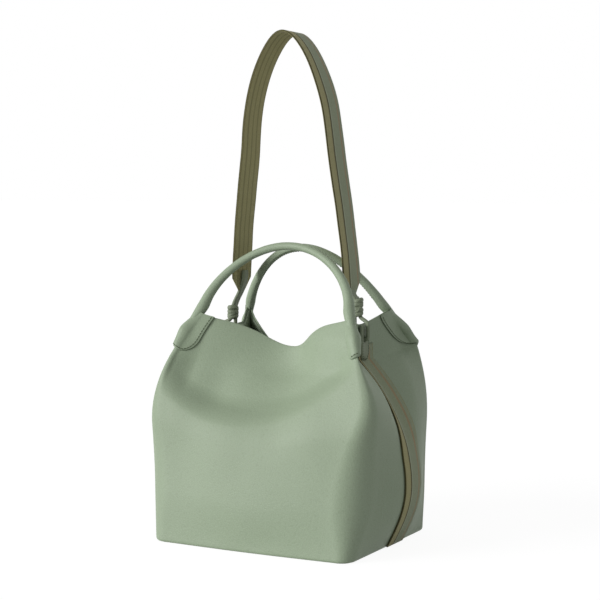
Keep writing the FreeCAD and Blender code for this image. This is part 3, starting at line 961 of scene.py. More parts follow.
@dataclass
class BagBody:
    """Front and back walls with their facings, linings and the inside pocket."""

    finishes: Finishes
    leather: float = 1.8
    facing: float = 1.2
    facing_share: float = 0.15
    lining: float = 0.8
    gap: float = 0.35
    pocket_leather: float = 1.2
    pocket_half: float = 0.2375
    rim_v: float = 0.994
    inner_edge_u: float = 0.985
    looseness: float = 1.2
    across: int = 150
    up: int = 96

    def stations(self, edge: float) -> list[float]:
        """Places along a wall, closer together round the corners.

        Args:
            edge: The last u.

        Returns:
            The u values from left to right.
        """
        sides = FRONT.sides
        half = spread(0.0, sides.front_share, self.across // 3)
        half += spread(sides.front_share, sides.front_share + sides.corner_share, 17)[1:]
        half += spread(sides.front_share + sides.corner_share, edge, self.across // 4)[1:]
        return [-u for u in reversed(half[1:])] + half

    def wall(self, wall: Wall) -> bpy.types.Object:
        """Makes a wall's outer leather with its turned rim.

        Args:
            wall: Which wall.

        Returns:
            The new piece.
        """
        pattern = Pattern()
        us = self.stations(0.9985)
        heights = spread(0.0, 0.014, 5) + spread(0.02, self.rim_v, self.up)
        rows = [[wall.at(u, v) for u in us] for v in heights]
        radius = 0.5 * self.leather
        for angle in (60.0, 30.0, 0.0, -30.0, -60.0):
            out = radius * (math.sin(math.radians(angle)) - 1.0)
            rise = self.rim_v + 0.006 * math.cos(math.radians(angle))
            rows.append([wall.at(u, rise, out) for u in us])
        rows += [[wall.at(u, v, -self.leather) for u in us] for v in (0.99, 0.93, 0.85)]
        pattern.rows(rows)
        return pattern.make(wall.name + "_wall_leather", [self.finishes.leather], "bag",
                            [wall.name + "_panel"])

    def inner(self, wall: Wall) -> bpy.types.Object:
        """Makes the facing inside a wall's top edge.

        Args:
            wall: Which wall.

        Returns:
            The new piece.
        """
        pattern = Pattern()
        us = self.stations(self.inner_edge_u)
        top = -self.leather - self.gap
        vs = [1.0 - self.facing_share] + spread(1.0 - self.facing_share, 0.988, 14)
        rows = [[wall.at(u, v, top - (self.facing if k else 0.0)) for u in us] for k, v in enumerate(vs)]
        rows.append([wall.at(u, 0.99, top) for u in us])
        pattern.rows(rows)
        return pattern.make(wall.name + "_facing_leather", [self.finishes.leather], "bag",
                            [wall.name + "_facing"])

    def cloth(self, wall: Wall) -> bpy.types.Object:
        """Makes a wall's lining, soft and a little loose.

        Args:
            wall: Which wall.

        Returns:
            The new piece.
        """
        pattern = Pattern()
        us = self.stations(self.inner_edge_u)
        depth = -self.leather - self.gap - self.lining
        rows = []
        for v in spread(0.03, 1.0 - self.facing_share + 0.004, 40):
            row = []
            for u in us:
                loose = self.looseness * max(0.0, noise.noise(Vector((u * 9.0, v * 7.0, 5.0 * wall.sign))))
                row.append(wall.at(u, v, depth - loose * smooth((0.84 - v) / 0.05)))
            rows.append(row)
        pattern.rows(rows)
        return pattern.make(wall.name + "_lining_cloth", [self.finishes.lining], "bag",
                            [wall.name + "_lining"])

    def pocket(self) -> bpy.types.Object:
        """Makes the patch pocket on the back lining."""
        pattern = Pattern()
        top = -self.leather - self.lining - 2.0 * self.gap - 1.3

        def place(a: float, b: float, lift: float) -> Vector:
            """Point of the pocket: a is a share of its half width in hundredths."""
            return BACK.at(a * self.pocket_half / 100.0, b, top - lift)

        strips = [Strip(0.241, -98.0, 98.0, 0.3)]
        strips += [Strip(v, -100.0, 100.0) for v in spread(0.245, 0.595, 16)]
        strips += [Strip(0.6, -100.0, 100.0, 0.3)]
        thick_strip(pattern, place, strips, 0.0, self.pocket_leather, 24)
        return pattern.make("inner_patch_pocket", [self.finishes.lining], "bag",
                            ["inner_pocket"])

    def dress_flat_nodes(self) -> None:
        """Gives the base and the cord cores, whose shape is right, their finishes."""
        looks = {"base_panel": self.finishes.leather, "base_board": self.finishes.board,
                 "base_lining": self.finishes.lining, "front_handle_core": self.finishes.cord,
                 "back_handle_core": self.finishes.cord}
        for node, material in looks.items():
            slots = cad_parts[node].data.materials
            slots.clear()
            slots.append(material)

    def build(self) -> list[bpy.types.Object]:
        """Makes the body's pieces."""
        pieces = []
        for wall in WALLS:
            pieces += [self.wall(wall), self.inner(wall), self.cloth(wall)]
        pieces.append(self.pocket())
        self.dress_flat_nodes()
        return pieces


# ---------------------------------------------------------------------- tabs and handles
@dataclass
class CornerTab:
    """Leather tab round a corner below a handle, drawn up over the handle's cord in the middle."""

    finishes: Finishes
    wall: Wall
    side: Side
    reach: float = 23.0
    front_reach: float = 23.0
    top_share: float = 0.45
    foot_round: float = 0.45
    leather: float = 1.6
    seat: float = 0.4
    crest: float = 6.2
    crest_width: float = 5.6
    crest_at_foot: float = 0.35
    crest_at_top: float = 0.3
    foot_power: float = 2.5
    seam_inset: float = 2.6

    def edge(self, t: float, share: float) -> float:
        """Signed distance of a place from the corner.

        Args:
            t: Share of the height from the foot (0) to the top (1).
            share: -1 at the front or back edge, +1 at the side edge.

        Returns:
            The distance in millimetres.
        """
        above_foot = 1.0 - min(1.0, t / self.foot_round)
        rounding = (1.0 - above_foot ** self.foot_power) ** (1.0 / self.foot_power)
        rounding *= mix(1.0, self.top_share, smooth((t - 0.2) / 0.8))
        return share * rounding * (self.front_reach if share < 0.0 else self.reach)

    def place(self, share: float, t: float, lift: float) -> Vector:
        """Point over the tab.

        Args:
            share: Place across it, from -1 to 1.
            t: Share of the height.
            lift: Height over the wall's leather.

        Returns:
            The point.
        """
        wall = self.wall
        foot = (wall.foot_z - 1.0) / wall.height
        v = mix(foot, 1.0, t)
        corner = self.side.value * wall.sides.corner
        away = self.edge(t, share)
        u = wall.walk(corner, v, self.side.value * away) if abs(away) > 1e-6 else corner
        return wall.at(u, v, lift)

    def raised(self, share: float, t: float) -> float:
        """How far the cord lifts the tab: round over the corner, running out in two slopes."""
        away = abs(self.edge(t, share))
        crest = mix(self.crest_at_foot, 1.0, smooth(t / 0.5)) * self.crest * smooth((t + 0.04) / 0.12)
        crest *= mix(1.0, self.crest_at_top, smooth((t - 0.4) / 0.5))
        slope = (1.0 - min(1.0, abs(share))) ** 2
        return crest * (0.8 * bump(away, self.crest_width) + 0.2 * slope)

    def build(self) -> list[bpy.types.Object]:
        """Makes the tab and its stitching."""
        name = self.wall.name + "_" + self.side.word
        pattern = Pattern()
        ts = [0.003, 0.012, 0.03, 0.06, 0.1] + spread(0.15, 1.0, 34)
        shares = [-1.0, -0.985, -0.95] + spread(-0.9, 0.9, 45) + [0.95, 0.985, 1.0]
        rows = []
        for t in ts:
            row = [self.place(-1.0, t, self.seat - 0.2)]
            for share in shares:
                round_off = 0.35 * self.leather * bump((1.0 - abs(share)) / 0.04, 1.0)
                foot = 0.5 * self.leather * bump(t / 0.03, 1.0)
                lift = self.seat + self.leather + self.raised(share, t)
                row.append(self.place(share, t, lift - round_off - foot))
            row.append(self.place(1.0, t, self.seat - 0.2))
            rows.append(row)
        rows.insert(0, [self.place(0.0, 0.0, self.seat - 0.2)] * len(rows[0]))
        # The outermost columns take the darker cut edge, which also paints a shade line along the tab's edge.
        pattern.rows(rows, finishes=[1, 1] + [0] * (len(shares) - 3) + [1, 1])
        tab = pattern.make(name + "_corner_tab", [self.finishes.leather, self.finishes.shaded_cut_edge], "bag",
                           [name + "_handle_tab"])
        return [tab, self.stitching(name)]

    def stitching(self, name: str) -> bpy.types.Object:
        """Sews round the edge of the tab.

        Args:
            name: Start of the piece's name.

        Returns:
            The new piece.
        """
        heights = [0.05, 0.07] + spread(0.1, 0.97, 30)
        line = []
        if self.front_reach > NARROW_TAB_REACH:
            line += [self.seam_point(t, -1.0) for t in reversed(heights)]
        line += [self.seam_point(0.045, share) for share in spread(-0.8, 0.8, 9)]
        line += [self.seam_point(t, 1.0) for t in heights]
        corner = self.side.value * self.wall.sides.corner
        normals = [self.wall.outward(corner, min(1.0, point.z / self.wall.height)) for point in line]
        pattern = Pattern()
        Stitching(radius=0.42).sew(pattern, line, normals)
        return pattern.make(name + "_tab_stitching", [self.finishes.thread], "bag")

    def seam_point(self, t: float, share: float) -> Vector:
        """Point of the seam, a little inside the tab's edge.

        Args:
            t: Share of the height.
            share: Which edge, or a place across the foot.

        Returns:
            The point on the tab's surface.
        """
        reach = abs(self.edge(t, math.copysign(1.0, share)))
        kept = max(0.0, 1.0 - self.seam_inset / max(reach, 3.0)) if abs(share) == 1.0 else 0.8
        inside = share * kept
        return self.place(inside, t, self.seat + self.leather + self.raised(inside, t))


WIDE_TAB = {"reach": 26.0, "front_reach": 21.0, "top_share": 0.95}
NARROW_TAB = {"reach": 11.0, "front_reach": 9.0, "foot_round": 0.05}


@dataclass
class RolledHandle:
    """Rolled leather handle: an arch that runs on down both corners under the tabs."""

    finishes: Finishes
    wall: Wall
    radius_top: float = 4.1
    taper: float = 3.0
    peak: float = 0.2
    tail: float = 30.0
    tail_taper: float = 2.2
    sections: int = 110
    sides: int = 28
    seam_depth: float = 0.55
    seam_width: float = 0.16

    def arch(self, angle: float) -> Vector:
        """Point on the handle's middle line.

        Args:
            angle: From minus to plus the arch angle, in radians.

        Returns:
            The point.
        """
        wall = self.wall
        end = math.radians(wall.arch_angle)
        rise = (math.cos(angle) - math.cos(end)) / (1.0 - math.cos(end))
        rise *= 1.0 - self.peak * (1.0 - rise)
        return Vector((wall.root_x * math.sin(angle) / math.sin(end),
                       wall.sign * mix(wall.root_y, wall.arch_y, rise), mix(wall.root_z, wall.arch_z, rise)))

    def tail_line(self, side: int) -> tuple[list[Vector], list[float]]:
        """Middle points and radii under one tab, from the root down.

        Args:
            side: -1 on the left, +1 on the right.

        Returns:
            The points and their radii.
        """
        wall = self.wall
        down = Vector((wall.foot_x - wall.root_x, wall.sign * (wall.foot_y - wall.root_y),
                       wall.foot_z - wall.root_z)).normalized()
        down.x *= side
        steps = [self.tail * k / HANDLE_TAIL_POINTS for k in range(1, HANDLE_TAIL_POINTS + 1)]
        return ([wall.root(side) + down * step for step in steps],
                [wall.handle_radius - self.tail_taper * smooth(step / self.tail) for step in steps])

    def line(self) -> tuple[list[Vector], list[float]]:
        """Middle points and radii from the left tail to the right one."""
        end = math.radians(self.wall.arch_angle)
        angles = spread(-end, end, self.sections)
        left, left_radii = self.tail_line(-1)
        right, right_radii = self.tail_line(1)
        points = left[::-1] + [self.arch(a) for a in angles] + right
        arch_radii = [mix(self.radius_top, self.wall.handle_radius, (abs(a) / end) ** self.taper)
                      for a in angles]
        radii = left_radii[::-1] + arch_radii + right_radii
        for _ in range(3):
            inner = [(a + b * 2.0 + c) / 4.0 for a, b, c in zip(points, points[1:], points[2:])]
            points = [points[0]] + inner + [points[-1]]
        return points, radii

    def build(self) -> list[bpy.types.Object]:
        """Makes the cover and its seam stitching."""
        points, radii = self.line()
        inward = Vector((0.0, -self.wall.sign * 0.6, -0.8)).normalized()
        rings = []
        seam = []
        seam_normals = []
        for k, point in enumerate(points):
            along = (points[min(k + 1, len(points) - 1)] - points[max(k - 1, 0)]).normalized()
            under = inward + Vector((-0.9 * math.copysign(min(1.0, abs(point.x) / 60.0), point.x), 0.0, 0.0))
            under = (under - along * under.dot(along)).normalized()
            across = along.cross(under).normalized()
            ring = []
            for i in range(self.sides):
                angle = 2.0 * math.pi * i / self.sides
                off = min(angle, 2.0 * math.pi - angle)
                radius = radii[k] - self.seam_depth * bump(off, self.seam_width) \
                    + 0.25 * bump(off - SEAM_TURN, 0.2)
                radius += 0.10 * noise.noise(point * 0.12 + Vector((angle, 0.0, 0.0)))
                ring.append(point + (under * math.cos(angle) + across * math.sin(angle)) * radius)
            rings.append(ring)
            if abs(point.x) < self.wall.root_x - 4.0:
                direction = (under * math.cos(SEAM_TURN) + across * math.sin(SEAM_TURN)).normalized()
                seam.append(point + direction * (radii[k] + 0.15))
                seam_normals.append(direction)
        pattern = Pattern()
        pattern.rows(rings, loop=True, caps=True)
        body = self.wall.name + "_handle"
        cover = pattern.make(self.wall.name + "_handle_cover", [self.finishes.leather], "",
                             [self.wall.name + "_handle"])
        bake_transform(cover)
        pattern = Pattern()
        Stitching(3.2, 2.3, 0.3).sew(pattern, seam, seam_normals)
        sewn = pattern.make(self.wall.name + "_handle_stitching", [self.finishes.thread], body)
        return [cover, sewn]


# ---------------------------------------------------------------------- side pieces
@dataclass
class SidePieces:
    """The striped band over a side of the bag and the leather tongue over its top."""

    finishes: Finishes
    side: Side
    band_width: float = 40.0
    band: float = 1.8
    band_bottom_z: float = 3.0
    band_top_z: float = 211.0
    seat: float = 0.4
    tongue_width: float = 20.0
    tongue: float = 2.4
    tongue_bottom_z: float = 194.0
    hole_z: float = 218.0
    hole_radius: float = 3.0
    edge_drop: float = 0.7

    @property
    def top_z(self) -> float:
        """Height of this side's top edge."""
        return FRONT.sides.top_z(self.side.value)

    def place(self, a: float, b: float, lift: float) -> Vector:
        """Point over a side.

        Args:
            a: Distance from the side line, negative towards the front.
            b: Height at the side line.
            lift: Height over the leather.

        Returns:
            The point.
        """
        wall = FRONT if a < 0.0 else BACK
        v = min(1.0, b / self.top_z)
        start = self.side.value * 0.999
        u = wall.walk(start, v, -self.side.value * abs(a)) if abs(a) > 1e-6 else start
        return wall.at(u, v, lift)

    def build(self) -> list[bpy.types.Object]:
        """Makes the band, the tongue and its stitching."""
        half = 0.5 * self.band_width
        strips = [Strip(z, -half, half) for z in spread(self.band_bottom_z, self.band_top_z, 110)]
        pattern = Pattern()
        thick_strip(pattern, self.place, strips, self.seat - 0.2, self.band, 22)
        band = pattern.make(self.side.word + "_side_band", [self.finishes.web_face], "bag",
                            [self.side.word + "_side_webbing"])
        return [band, self.tongue_piece(), self.tongue_stitching()]

    def tongue_half(self, z: float) -> float:
        """Half width of the tongue at a height: round at the bottom."""
        t = (z - self.tongue_bottom_z) / (0.3 * (self.top_z - self.tongue_bottom_z))
        return 0.5 * self.tongue_width * math.sqrt(max(0.0, 1.0 - (1.0 - min(1.0, t)) ** 2))

    def tongue_piece(self) -> bpy.types.Object:
        """Makes the tongue as a plate with a round hole for the lace."""
        bottom = 2.0 * self.seat + self.band
        pattern = Pattern()
        around = 48
        rings: list[list[tuple[float, float]]] = []
        outline = [self.outline_point(2.0 * math.pi * i / around) for i in range(around)]
        for share in (1.0, 0.96, 0.8, 0.6, 0.4, 0.2, 0.04, 0.0):
            ring = []
            for i in range(around):
                angle = 2.0 * math.pi * i / around
                hole = (self.hole_radius * math.cos(angle), self.hole_z + self.hole_radius * math.sin(angle))
                ring.append((mix(hole[0], outline[i][0], share), mix(hole[1], outline[i][1], share)))
            rings.append(ring)
        lifts = [self.tongue - self.edge_drop] + [self.tongue] * 6 + [self.tongue - self.edge_drop]
        rows = [[self.place(a, z, bottom) for a, z in rings[0]]]
        rows += [[self.place(a, z, bottom + lift) for a, z in ring] for ring, lift in zip(rings, lifts)]
        rows += [[self.place(a, z, bottom) for a, z in rings[-1]]]
        rows += [[self.place(a, z, bottom) for a, z in ring] for ring in reversed(rings[:-1])]
        pattern.rows(rows, loop=True)
        return pattern.make(self.side.word + "_tongue", [self.finishes.cut_leather], "bag",
                            [self.side.word + "_side_tongue"])

    def outline_point(self, angle: float, inside: float = 0.0) -> tuple[float, float]:
        """Point on the tongue's outline in a direction from its hole.

        Args:
            angle: Direction, 0 towards the back.
            inside: How far within the outline.

        Returns:
            Distance from the side line and height.
        """
        length = 1.0
        top = self.top_z - 0.6 - inside
        while length < 60.0:
            a = length * math.cos(angle)
            z = self.hole_z + length * math.sin(angle)
            if z > top or z < self.tongue_bottom_z + inside or abs(a) > self.tongue_half(z) - inside:
                break
            length += 0.25
        return length * math.cos(angle), self.hole_z + length * math.sin(angle)

    def tongue_stitching(self) -> bpy.types.Object:
        """Sews the tongue to the side, a little inside its edge."""
        pattern = Pattern()
        lift = 2.0 * self.seat + self.band + self.tongue
        line = []
        normals = []
        for angle in spread(-3.45, 0.31, 40):
            a, z = self.outline_point(angle, 1.9)
            line.append(self.place(a, z, lift))
            normals.append((self.place(a, z, lift + 5.0) - line[-1]).normalized())
        Stitching(2.8, 2.0, 0.26).sew(pattern, line, normals)
        return pattern.make(self.side.word + "_tongue_stitching", [self.finishes.thread], "bag")


# ---------------------------------------------------------------------- laces, knots and strap
def rounded(corners: Sequence[Vector], bend: float, steps: int = 7) -> list[Vector]:
    """Points along a path whose inner corners are rounded.

    Args:
        corners: The corners in order.
        bend: How far from a corner its curve starts.
        steps: Points along each curve.

    Returns:
        The points.
    """
    points = [corners[0]]
    for before, corner, after in zip(corners, corners[1:], corners[2:]):
        start = corner + (before - corner) * min(0.48, bend / (before - corner).length)
        end = corner + (after - corner) * min(0.48, bend / (after - corner).length)
        for t in spread(0.0, 1.0, steps):
            points.append(start.lerp(corner, t).lerp(corner.lerp(end, t), t))
    return points + [corners[-1]]


@dataclass(frozen=True)
class KnotSize:
    """Place and size of one wrapped knot."""

    bottom_z: float
    turns: int
    x: float = 76.0
    radius: float = 6.4
    turn_height: float = 4.4

    @property
    def tall(self) -> float:
        """Height of the knot itself."""
        return self.turns * self.turn_height


KNOTS = {Side.LEFT: KnotSize(234.5, 3), Side.RIGHT: KnotSize(243.0, 4)}
TURN_TILTS = (0.24, -0.16, 0.20, -0.22)


@dataclass
class LaceAndKnot:
    """Round lace through the side of the bag and the wrapped knot that joins it to the strap."""

    finishes: Finishes
    side: Side
    radius: float = 2.1
    hole_z: float = 218.0
    stack: float = 8.5
    inner_x: float = 72.9
    strand_out: float = 1.75
    strand_share: float = 0.58
    loose: float = 0.35

    @property
    def size(self) -> KnotSize:
        """Place and size of this side's knot."""
        return KNOTS[self.side]

    def build(self) -> list[bpy.types.Object]:
        """Makes the lace and the knot."""
        return [self.lace(), self.knot()]

    def lace(self) -> bpy.types.Object:
        """Makes the lace: down the outside, through the hole and up on the inside."""
        sides = FRONT.sides
        knot = self.size
        wall_x = sides.line_x(self.hole_z * FRONT.height / sides.top_z(self.side.value))
        high = knot.bottom_z + 1.2
        low = knot.bottom_z - 1.9
        apart = 0.5 * knot.radius
        turn = sides.top_z(self.side.value) + 1.5
        corners = [(knot.x + apart, high), (knot.x + apart, low),
                   (sides.top_x + self.stack, turn), (wall_x + self.stack, self.hole_z),
                   (self.inner_x, self.hole_z), (self.inner_x, turn),
                   (knot.x - apart, low), (knot.x - apart, high)]
        path = rounded([Vector((self.side.value * x, sides.line_y, z)) for x, z in corners], 3.4)
        pattern = Pattern()
        pattern.tube(path, [self.radius] * len(path), 16)
        return pattern.make(self.side.word + "_round_lace", [self.finishes.cut_leather], "strap",
                            [self.side.word + "_lace"])

    def knot(self) -> bpy.types.Object:
        """Makes the knot: flat turns of lace that lie close over a core, crossed by a slanting one."""
        knot = self.size
        middle = Vector((self.side.value * knot.x, FRONT.sides.line_y, knot.bottom_z))
        pattern = Pattern()
        core = [middle + Vector((0.0, 0.0, z)) for z in spread(0.2, knot.tall - 0.2, 10)]
        swell = [knot.radius - STRAND_INSET + 0.5 * math.sin(math.pi * k / 9.0) for k in range(10)]
        pattern.tube(core, swell, 28)
        for turn in range(knot.turns):
            tilt = TURN_TILTS[turn % len(TURN_TILTS)]
            self.wrap(pattern, middle, (turn + 0.5) * knot.turn_height, tilt, 1.4 * turn)
        self.wrap(pattern, middle, 0.5 * knot.tall, 0.30 * knot.turns, 0.4)
        return pattern.make(self.side.word + "_wrapped_knot", [self.finishes.cut_leather], "strap",
                            [self.side.word + "_strap_knot"])

    def wrap(self, pattern: Pattern, middle: Vector, height: float, tilt: float, turned: float) -> None:
        """Adds one turn of lace round the knot.

        Args:
            pattern: Where it is added.
            middle: Bottom of the knot's middle line.
            height: Height of the turn's middle above it.
            tilt: Slope of the turn.
            turned: Direction in which it rises, in radians.
        """
        around = 44
        strand = 14
        half = self.strand_share * self.size.turn_height
        ring = []
        for i in range(around):
            angle = 2.0 * math.pi * i / around
            uneven = self.loose * noise.noise(Vector((2.0 * angle, height, 1.0)))
            out = self.size.radius - STRAND_INSET + uneven
            outward = Vector((math.cos(angle), math.sin(angle), 0.0))
            rise = height + tilt * out * math.sin(angle + turned)
            centre = middle + outward * out + Vector((0.0, 0.0, rise))
            turns = [2.0 * math.pi * k / strand for k in range(strand)]
            ring.append([centre + outward * math.cos(t) * self.strand_out
                         + Vector((0.0, 0.0, math.sin(t) * half)) for t in turns])
        pattern.rows(ring + [ring[0]], loop=True)


@dataclass
class ShoulderStrap:
    """The woven strap, one loop over the bag, with a leather strip at each end."""

    finishes: Finishes
    width: float = 40.0
    thickness: float = 1.8
    y: float = 11.0
    lean: float = -7.5
    end_z: float = 265.0
    top_z: float = 539.5
    half: tuple[tuple[float, float], ...] = ((68.0, 265.0), (64.5, 316.0), (51.5, 418.0), (36.7, 493.0))
    point_length: float = 14.0
    point_width: float = 13.0
    end_width: float = 11.0
    end_leather: float = 3.8
    end_lap: float = 22.0
    seat: float = 0.4
    sections: int = 170

    def marks(self) -> list[Vector]:
        """Points that the loop passes, from the left end to the right."""
        flat = [(-x, z) for x, z in self.half] + [(0.0, self.top_z)] + list(reversed(self.half))
        slope = self.lean / (self.top_z - self.end_z)
        return [Vector((x + slope * (z - self.end_z), self.y, z)) for x, z in flat]

    def curve(self) -> list[tuple[Vector, Vector]]:
        """Points and directions along the loop through its marks."""
        marks = self.marks()
        reach = distances(marks)
        slopes = self.slopes(marks, reach)
        found = []
        for s in spread(0.0, reach[-1], self.sections):
            k, t = locate(reach, s)
            span = reach[k + 1] - reach[k]
            point = (marks[k] * (2 * t ** 3 - 3 * t ** 2 + 1) + slopes[k] * span * (t ** 3 - 2 * t ** 2 + t)
                     + marks[k + 1] * (3 * t ** 2 - 2 * t ** 3) + slopes[k + 1] * span * (t ** 3 - t ** 2))
            way = ((marks[k + 1] - marks[k]) * (6 * t - 6 * t ** 2) / span
                   + slopes[k] * (3 * t ** 2 - 4 * t + 1) + slopes[k + 1] * (3 * t ** 2 - 2 * t))
            found.append((point, way.normalized()))
        return found

    @staticmethod
    def slopes(marks: Sequence[Vector], reach: Sequence[float]) -> list[Vector]:
        """Directions at the marks that make the loop bend as evenly as a springy band does.

        Args:
            marks: The points passed.
            reach: Distance along the loop at each of them.

        Returns:
            One direction for each mark.
        """
        found = [Vector((0.0, 0.0, 0.0)) for _ in marks]
        last = len(marks) - 1
        for _ in range(60):
            for k in range(last + 1):
                if k in (0, last):
                    low, near = (0, 1) if k == 0 else (last - 1, last - 1)
                    chord = (marks[low + 1] - marks[low]) * 3.0 / (reach[low + 1] - reach[low])
                    found[k] = (chord - found[near]) / 2.0
                else:
                    before = 1.0 / (reach[k] - reach[k - 1])
                    after = 1.0 / (reach[k + 1] - reach[k])
                    pull = (marks[k] - marks[k - 1]) * 3.0 * before ** 2
                    pull += (marks[k + 1] - marks[k]) * 3.0 * after ** 2
                    pull -= found[k - 1] * before + found[k + 1] * after
                    found[k] = pull / (2.0 * (before + after))
        return found

    def build(self) -> list[bpy.types.Object]:
        """Makes the webbing and both end strips."""
        curve = self.curve()
        reach = distances([point for point, _ in curve])

        def place(a: float, b: float, lift: float) -> Vector:
            """Point of the webbing: a across, b along, lift out of the loop."""
            k, t = locate(reach, b)
            point = curve[k][0].lerp(curve[k + 1][0], t)
            way = curve[k][1].lerp(curve[k + 1][1], t).normalized()
            out = Vector((-way.z, 0.0, way.x))
            wave = 0.5 * noise.noise(Vector((b * 0.03, a * 0.02, 0.0)))
            return point + out * (lift + wave) + Vector((0.0, a, 0.0))

        strips = []
        for b in reach[:-1]:
            z = place(0.0, b, 0.0).z
            wide = min(1.0, max(0.0, z - self.end_z) / self.point_length)
            half = 0.5 * mix(self.point_width, self.width, wide)
            strips.append(Strip(b, -half, half))
        strips.append(Strip(reach[-1] - 0.01, -0.5 * self.point_width, 0.5 * self.point_width))
        pattern = Pattern()
        thick_strip(pattern, place, strips, -0.5 * self.thickness, self.thickness, 20, two_faced=True)
        webbing = pattern.make("woven_strap", [self.finishes.web_face, self.finishes.web_back], "strap",
                               ["strap_webbing"])
        return [webbing, self.end(Side.LEFT), self.end(Side.RIGHT)]

    def end(self, side: Side) -> bpy.types.Object:
        """Makes the leather strip at one end, from the webbing's inner face down into the knot.

        Args:
            side: Which end.

        Returns:
            The new piece.
        """
        low, above = self.half[0], self.half[1]
        slope = (above[0] - low[0]) / (above[1] - low[1])
        shelf = 0.5 * self.thickness + self.seat + 0.5 * self.end_leather
        top_z = self.end_z + self.end_lap
        sides = FRONT.sides
        knot = KNOTS[side]
        knot_x = knot.x - 1.2
        knot_top_z = knot.bottom_z + knot.tall
        marks = [Vector((low[0] + slope * self.end_lap - shelf, self.y, top_z)),
                 Vector((low[0] + slope * 0.5 * self.end_lap - shelf, self.y, mix(self.end_z, top_z, 0.5))),
                 Vector((low[0] + 1.0, self.y, self.end_z - 2.0)),
                 Vector((mix(low[0], knot_x, 0.7), mix(self.y, sides.line_y, 0.5),
                         mix(self.end_z, knot_top_z, 0.6))),
                 Vector((knot_x, sides.line_y, knot_top_z - 1.6))]
        path = rounded(marks, 4.0, 5)
        reach = distances(path)

        def place(a: float, b: float, lift: float) -> Vector:
            """Point of the strip: a across, b along, lift away from the bag's middle."""
            k, t = locate(reach, b)
            point = path[k].lerp(path[k + 1], t)
            return Vector((side.value * (point.x + lift), point.y + a, point.z))

        half = 0.5 * self.end_width
        bs = [0.02, 0.4] + spread(1.2, reach[-1] - 0.02, 30)
        strips = [Strip(b, -half * min(1.0, 0.6 + b), half * min(1.0, 0.6 + b)) for b in bs]
        pattern = Pattern()
        thick_strip(pattern, place, strips, -0.5 * self.end_leather, self.end_leather, 6)
        return pattern.make(side.word + "_strap_end_strip", [self.finishes.cut_leather], "strap",
                            [side.word + "_strap_end"])


# ---------------------------------------------------------------------- studio
def add_node(tree: bpy.types.NodeTree, kind: str, **values: float | tuple[float, ...]) -> bpy.types.Node:
    """Adds a node.

    Args:
        tree: Node tree to work in.
        kind: Type of the node, without its first word.
        values: Values of its inputs, by name.

    Returns:
        The node.
    """
    node = tree.nodes.new("ShaderNode" + kind)
    for name, value in values.items():
        node.inputs[name.replace("_", " ")].default_value = value
    return node


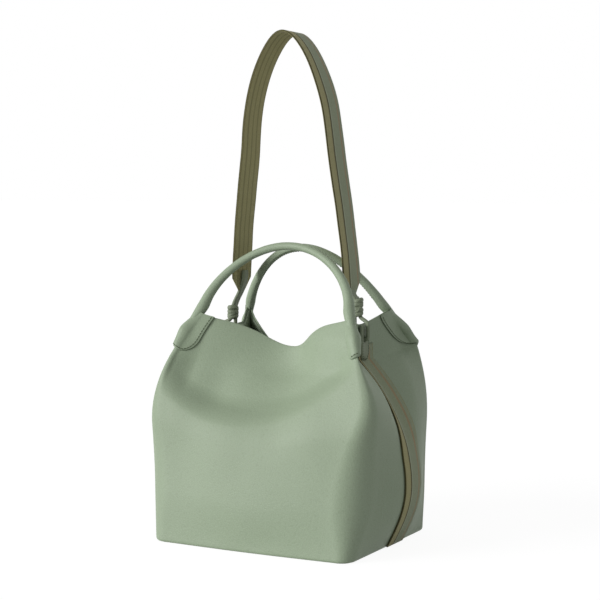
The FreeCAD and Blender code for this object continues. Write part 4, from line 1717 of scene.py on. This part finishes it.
@dataclass
class Studio:
    """Pale floor and background, soft light from the front left, and the camera."""

    azimuth: float = 28.21
    elevation: float = 7.63
    distance: float = 1.7
    target_z: float = 0.153
    lens: float = 94.28
    shift_x: float = 0.0145
    shift_y: float = 0.1602
    key: float = 2.8
    key_azimuth: float = -40.0
    key_elevation: float = 13.0
    key_softness: float = 34.0
    ambient: float = 0.36
    floor_tone: float = 0.16
    floor_glow: float = 0.92
    floor_bounce: float = 0.7

    def floor(self) -> None:
        """Makes the floor: white where the camera sees it, with a faint shadow."""
        bpy.ops.mesh.primitive_plane_add(size=60.0)
        floor = bpy.context.object
        floor.name = "studio_floor"
        material = bpy.data.materials.new("studio_floor")
        material.use_nodes = True
        tree = material.node_tree
        tree.nodes.clear()
        output = add_node(tree, "OutputMaterial")
        seen = add_node(tree, "BsdfDiffuse", Color=(self.floor_tone,) * 3 + (1.0,))
        glow = add_node(tree, "Emission", Strength=self.floor_glow)
        both = add_node(tree, "AddShader")
        tree.links.new(seen.outputs[0], both.inputs[0])
        tree.links.new(glow.outputs[0], both.inputs[1])
        plain = add_node(tree, "BsdfDiffuse", Color=(self.floor_bounce,) * 3 + (1.0,))
        mixed = add_node(tree, "MixShader")
        tree.links.new(self.seen_directly(tree), mixed.inputs[0])
        tree.links.new(plain.outputs[0], mixed.inputs[1])
        tree.links.new(both.outputs[0], mixed.inputs[2])
        tree.links.new(mixed.outputs[0], output.inputs["Surface"])
        floor.data.materials.append(material)

    @staticmethod
    def seen_directly(tree: bpy.types.NodeTree) -> bpy.types.NodeSocket:
        """Share that is 1 for camera, glossy and transmission rays.

        Args:
            tree: Node tree to work in.

        Returns:
            The share.
        """
        path = add_node(tree, "LightPath")
        share = path.outputs["Is Camera Ray"]
        for name in ("Is Glossy Ray", "Is Transmission Ray"):
            larger = add_node(tree, "Math")
            larger.operation = "MAXIMUM"
            tree.links.new(share, larger.inputs[0])
            tree.links.new(path.outputs[name], larger.inputs[1])
            share = larger.outputs[0]
        return share

    def world(self) -> None:
        """Makes the world: white behind the bag, softer as a light."""
        world = bpy.data.worlds.new("studio_world")
        bpy.context.scene.world = world
        world.use_nodes = True
        tree = world.node_tree
        tree.nodes.clear()
        output = add_node(tree, "OutputWorld")
        back = add_node(tree, "Background", Color=(1.0, 1.0, 1.0, 1.0))
        strength = add_node(tree, "MapRange", To_Min=self.ambient, To_Max=1.0)
        tree.links.new(self.seen_directly(tree), strength.inputs["Value"])
        tree.links.new(strength.outputs[0], back.inputs["Strength"])
        tree.links.new(back.outputs[0], output.inputs["Surface"])

    def lamp(self, name: str, azimuth: float, elevation: float, strength: float, softness: float) -> None:
        """Makes a distant soft light.

        Args:
            name: Name of the lamp.
            azimuth: Degrees to the right of the front.
            elevation: Degrees above the horizon.
            strength: Its strength.
            softness: Its apparent size in degrees.
        """
        data = bpy.data.lights.new(name, "SUN")
        data.energy = strength
        data.angle = math.radians(softness)
        lamp = bpy.data.objects.new(name, data)
        bpy.context.scene.collection.objects.link(lamp)
        lamp.rotation_euler = (math.radians(90.0 - elevation), 0.0, math.radians(azimuth))

    def camera(self) -> None:
        """Makes the camera."""
        data = bpy.data.cameras.new("camera")
        data.lens = self.lens
        data.shift_x = self.shift_x
        data.shift_y = self.shift_y
        camera = bpy.data.objects.new("camera", data)
        bpy.context.scene.collection.objects.link(camera)
        a = math.radians(self.azimuth)
        e = math.radians(self.elevation)
        back = Vector((math.sin(a) * math.cos(e), -math.cos(a) * math.cos(e), math.sin(e)))
        camera.location = Vector((0.0, 0.0, self.target_z)) + back * self.distance
        camera.rotation_euler = (-back).to_track_quat("-Z", "Y").to_euler()
        bpy.context.scene.camera = camera

    def build(self) -> None:
        """Makes the whole studio."""
        bpy.context.scene.view_settings.view_transform = "Standard"
        self.floor()
        self.world()
        self.lamp("key_light", self.key_azimuth, self.key_elevation, self.key, self.key_softness)
        self.camera()


def main() -> None:
    """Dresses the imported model, sets the studio and reports each piece."""
    logging.basicConfig(level=logging.INFO, format="%(message)s")
    finishes = Finishes()
    pieces = BagBody(finishes).build()
    for wall in WALLS:
        for side in Side:
            shape = WIDE_TAB if wall.sign == side.value else NARROW_TAB
            pieces += CornerTab(finishes, wall, side, **shape).build()
        pieces += RolledHandle(finishes, wall).build()
    for side in Side:
        pieces += SidePieces(finishes, side).build()
        pieces += LaceAndKnot(finishes, side).build()
    pieces += ShoulderStrap(finishes).build()
    for piece in pieces:
        LOG.info("%s: %d faces", piece.name, len(piece.data.polygons))
    Studio().build()


if __name__ == "__main__":
    main()
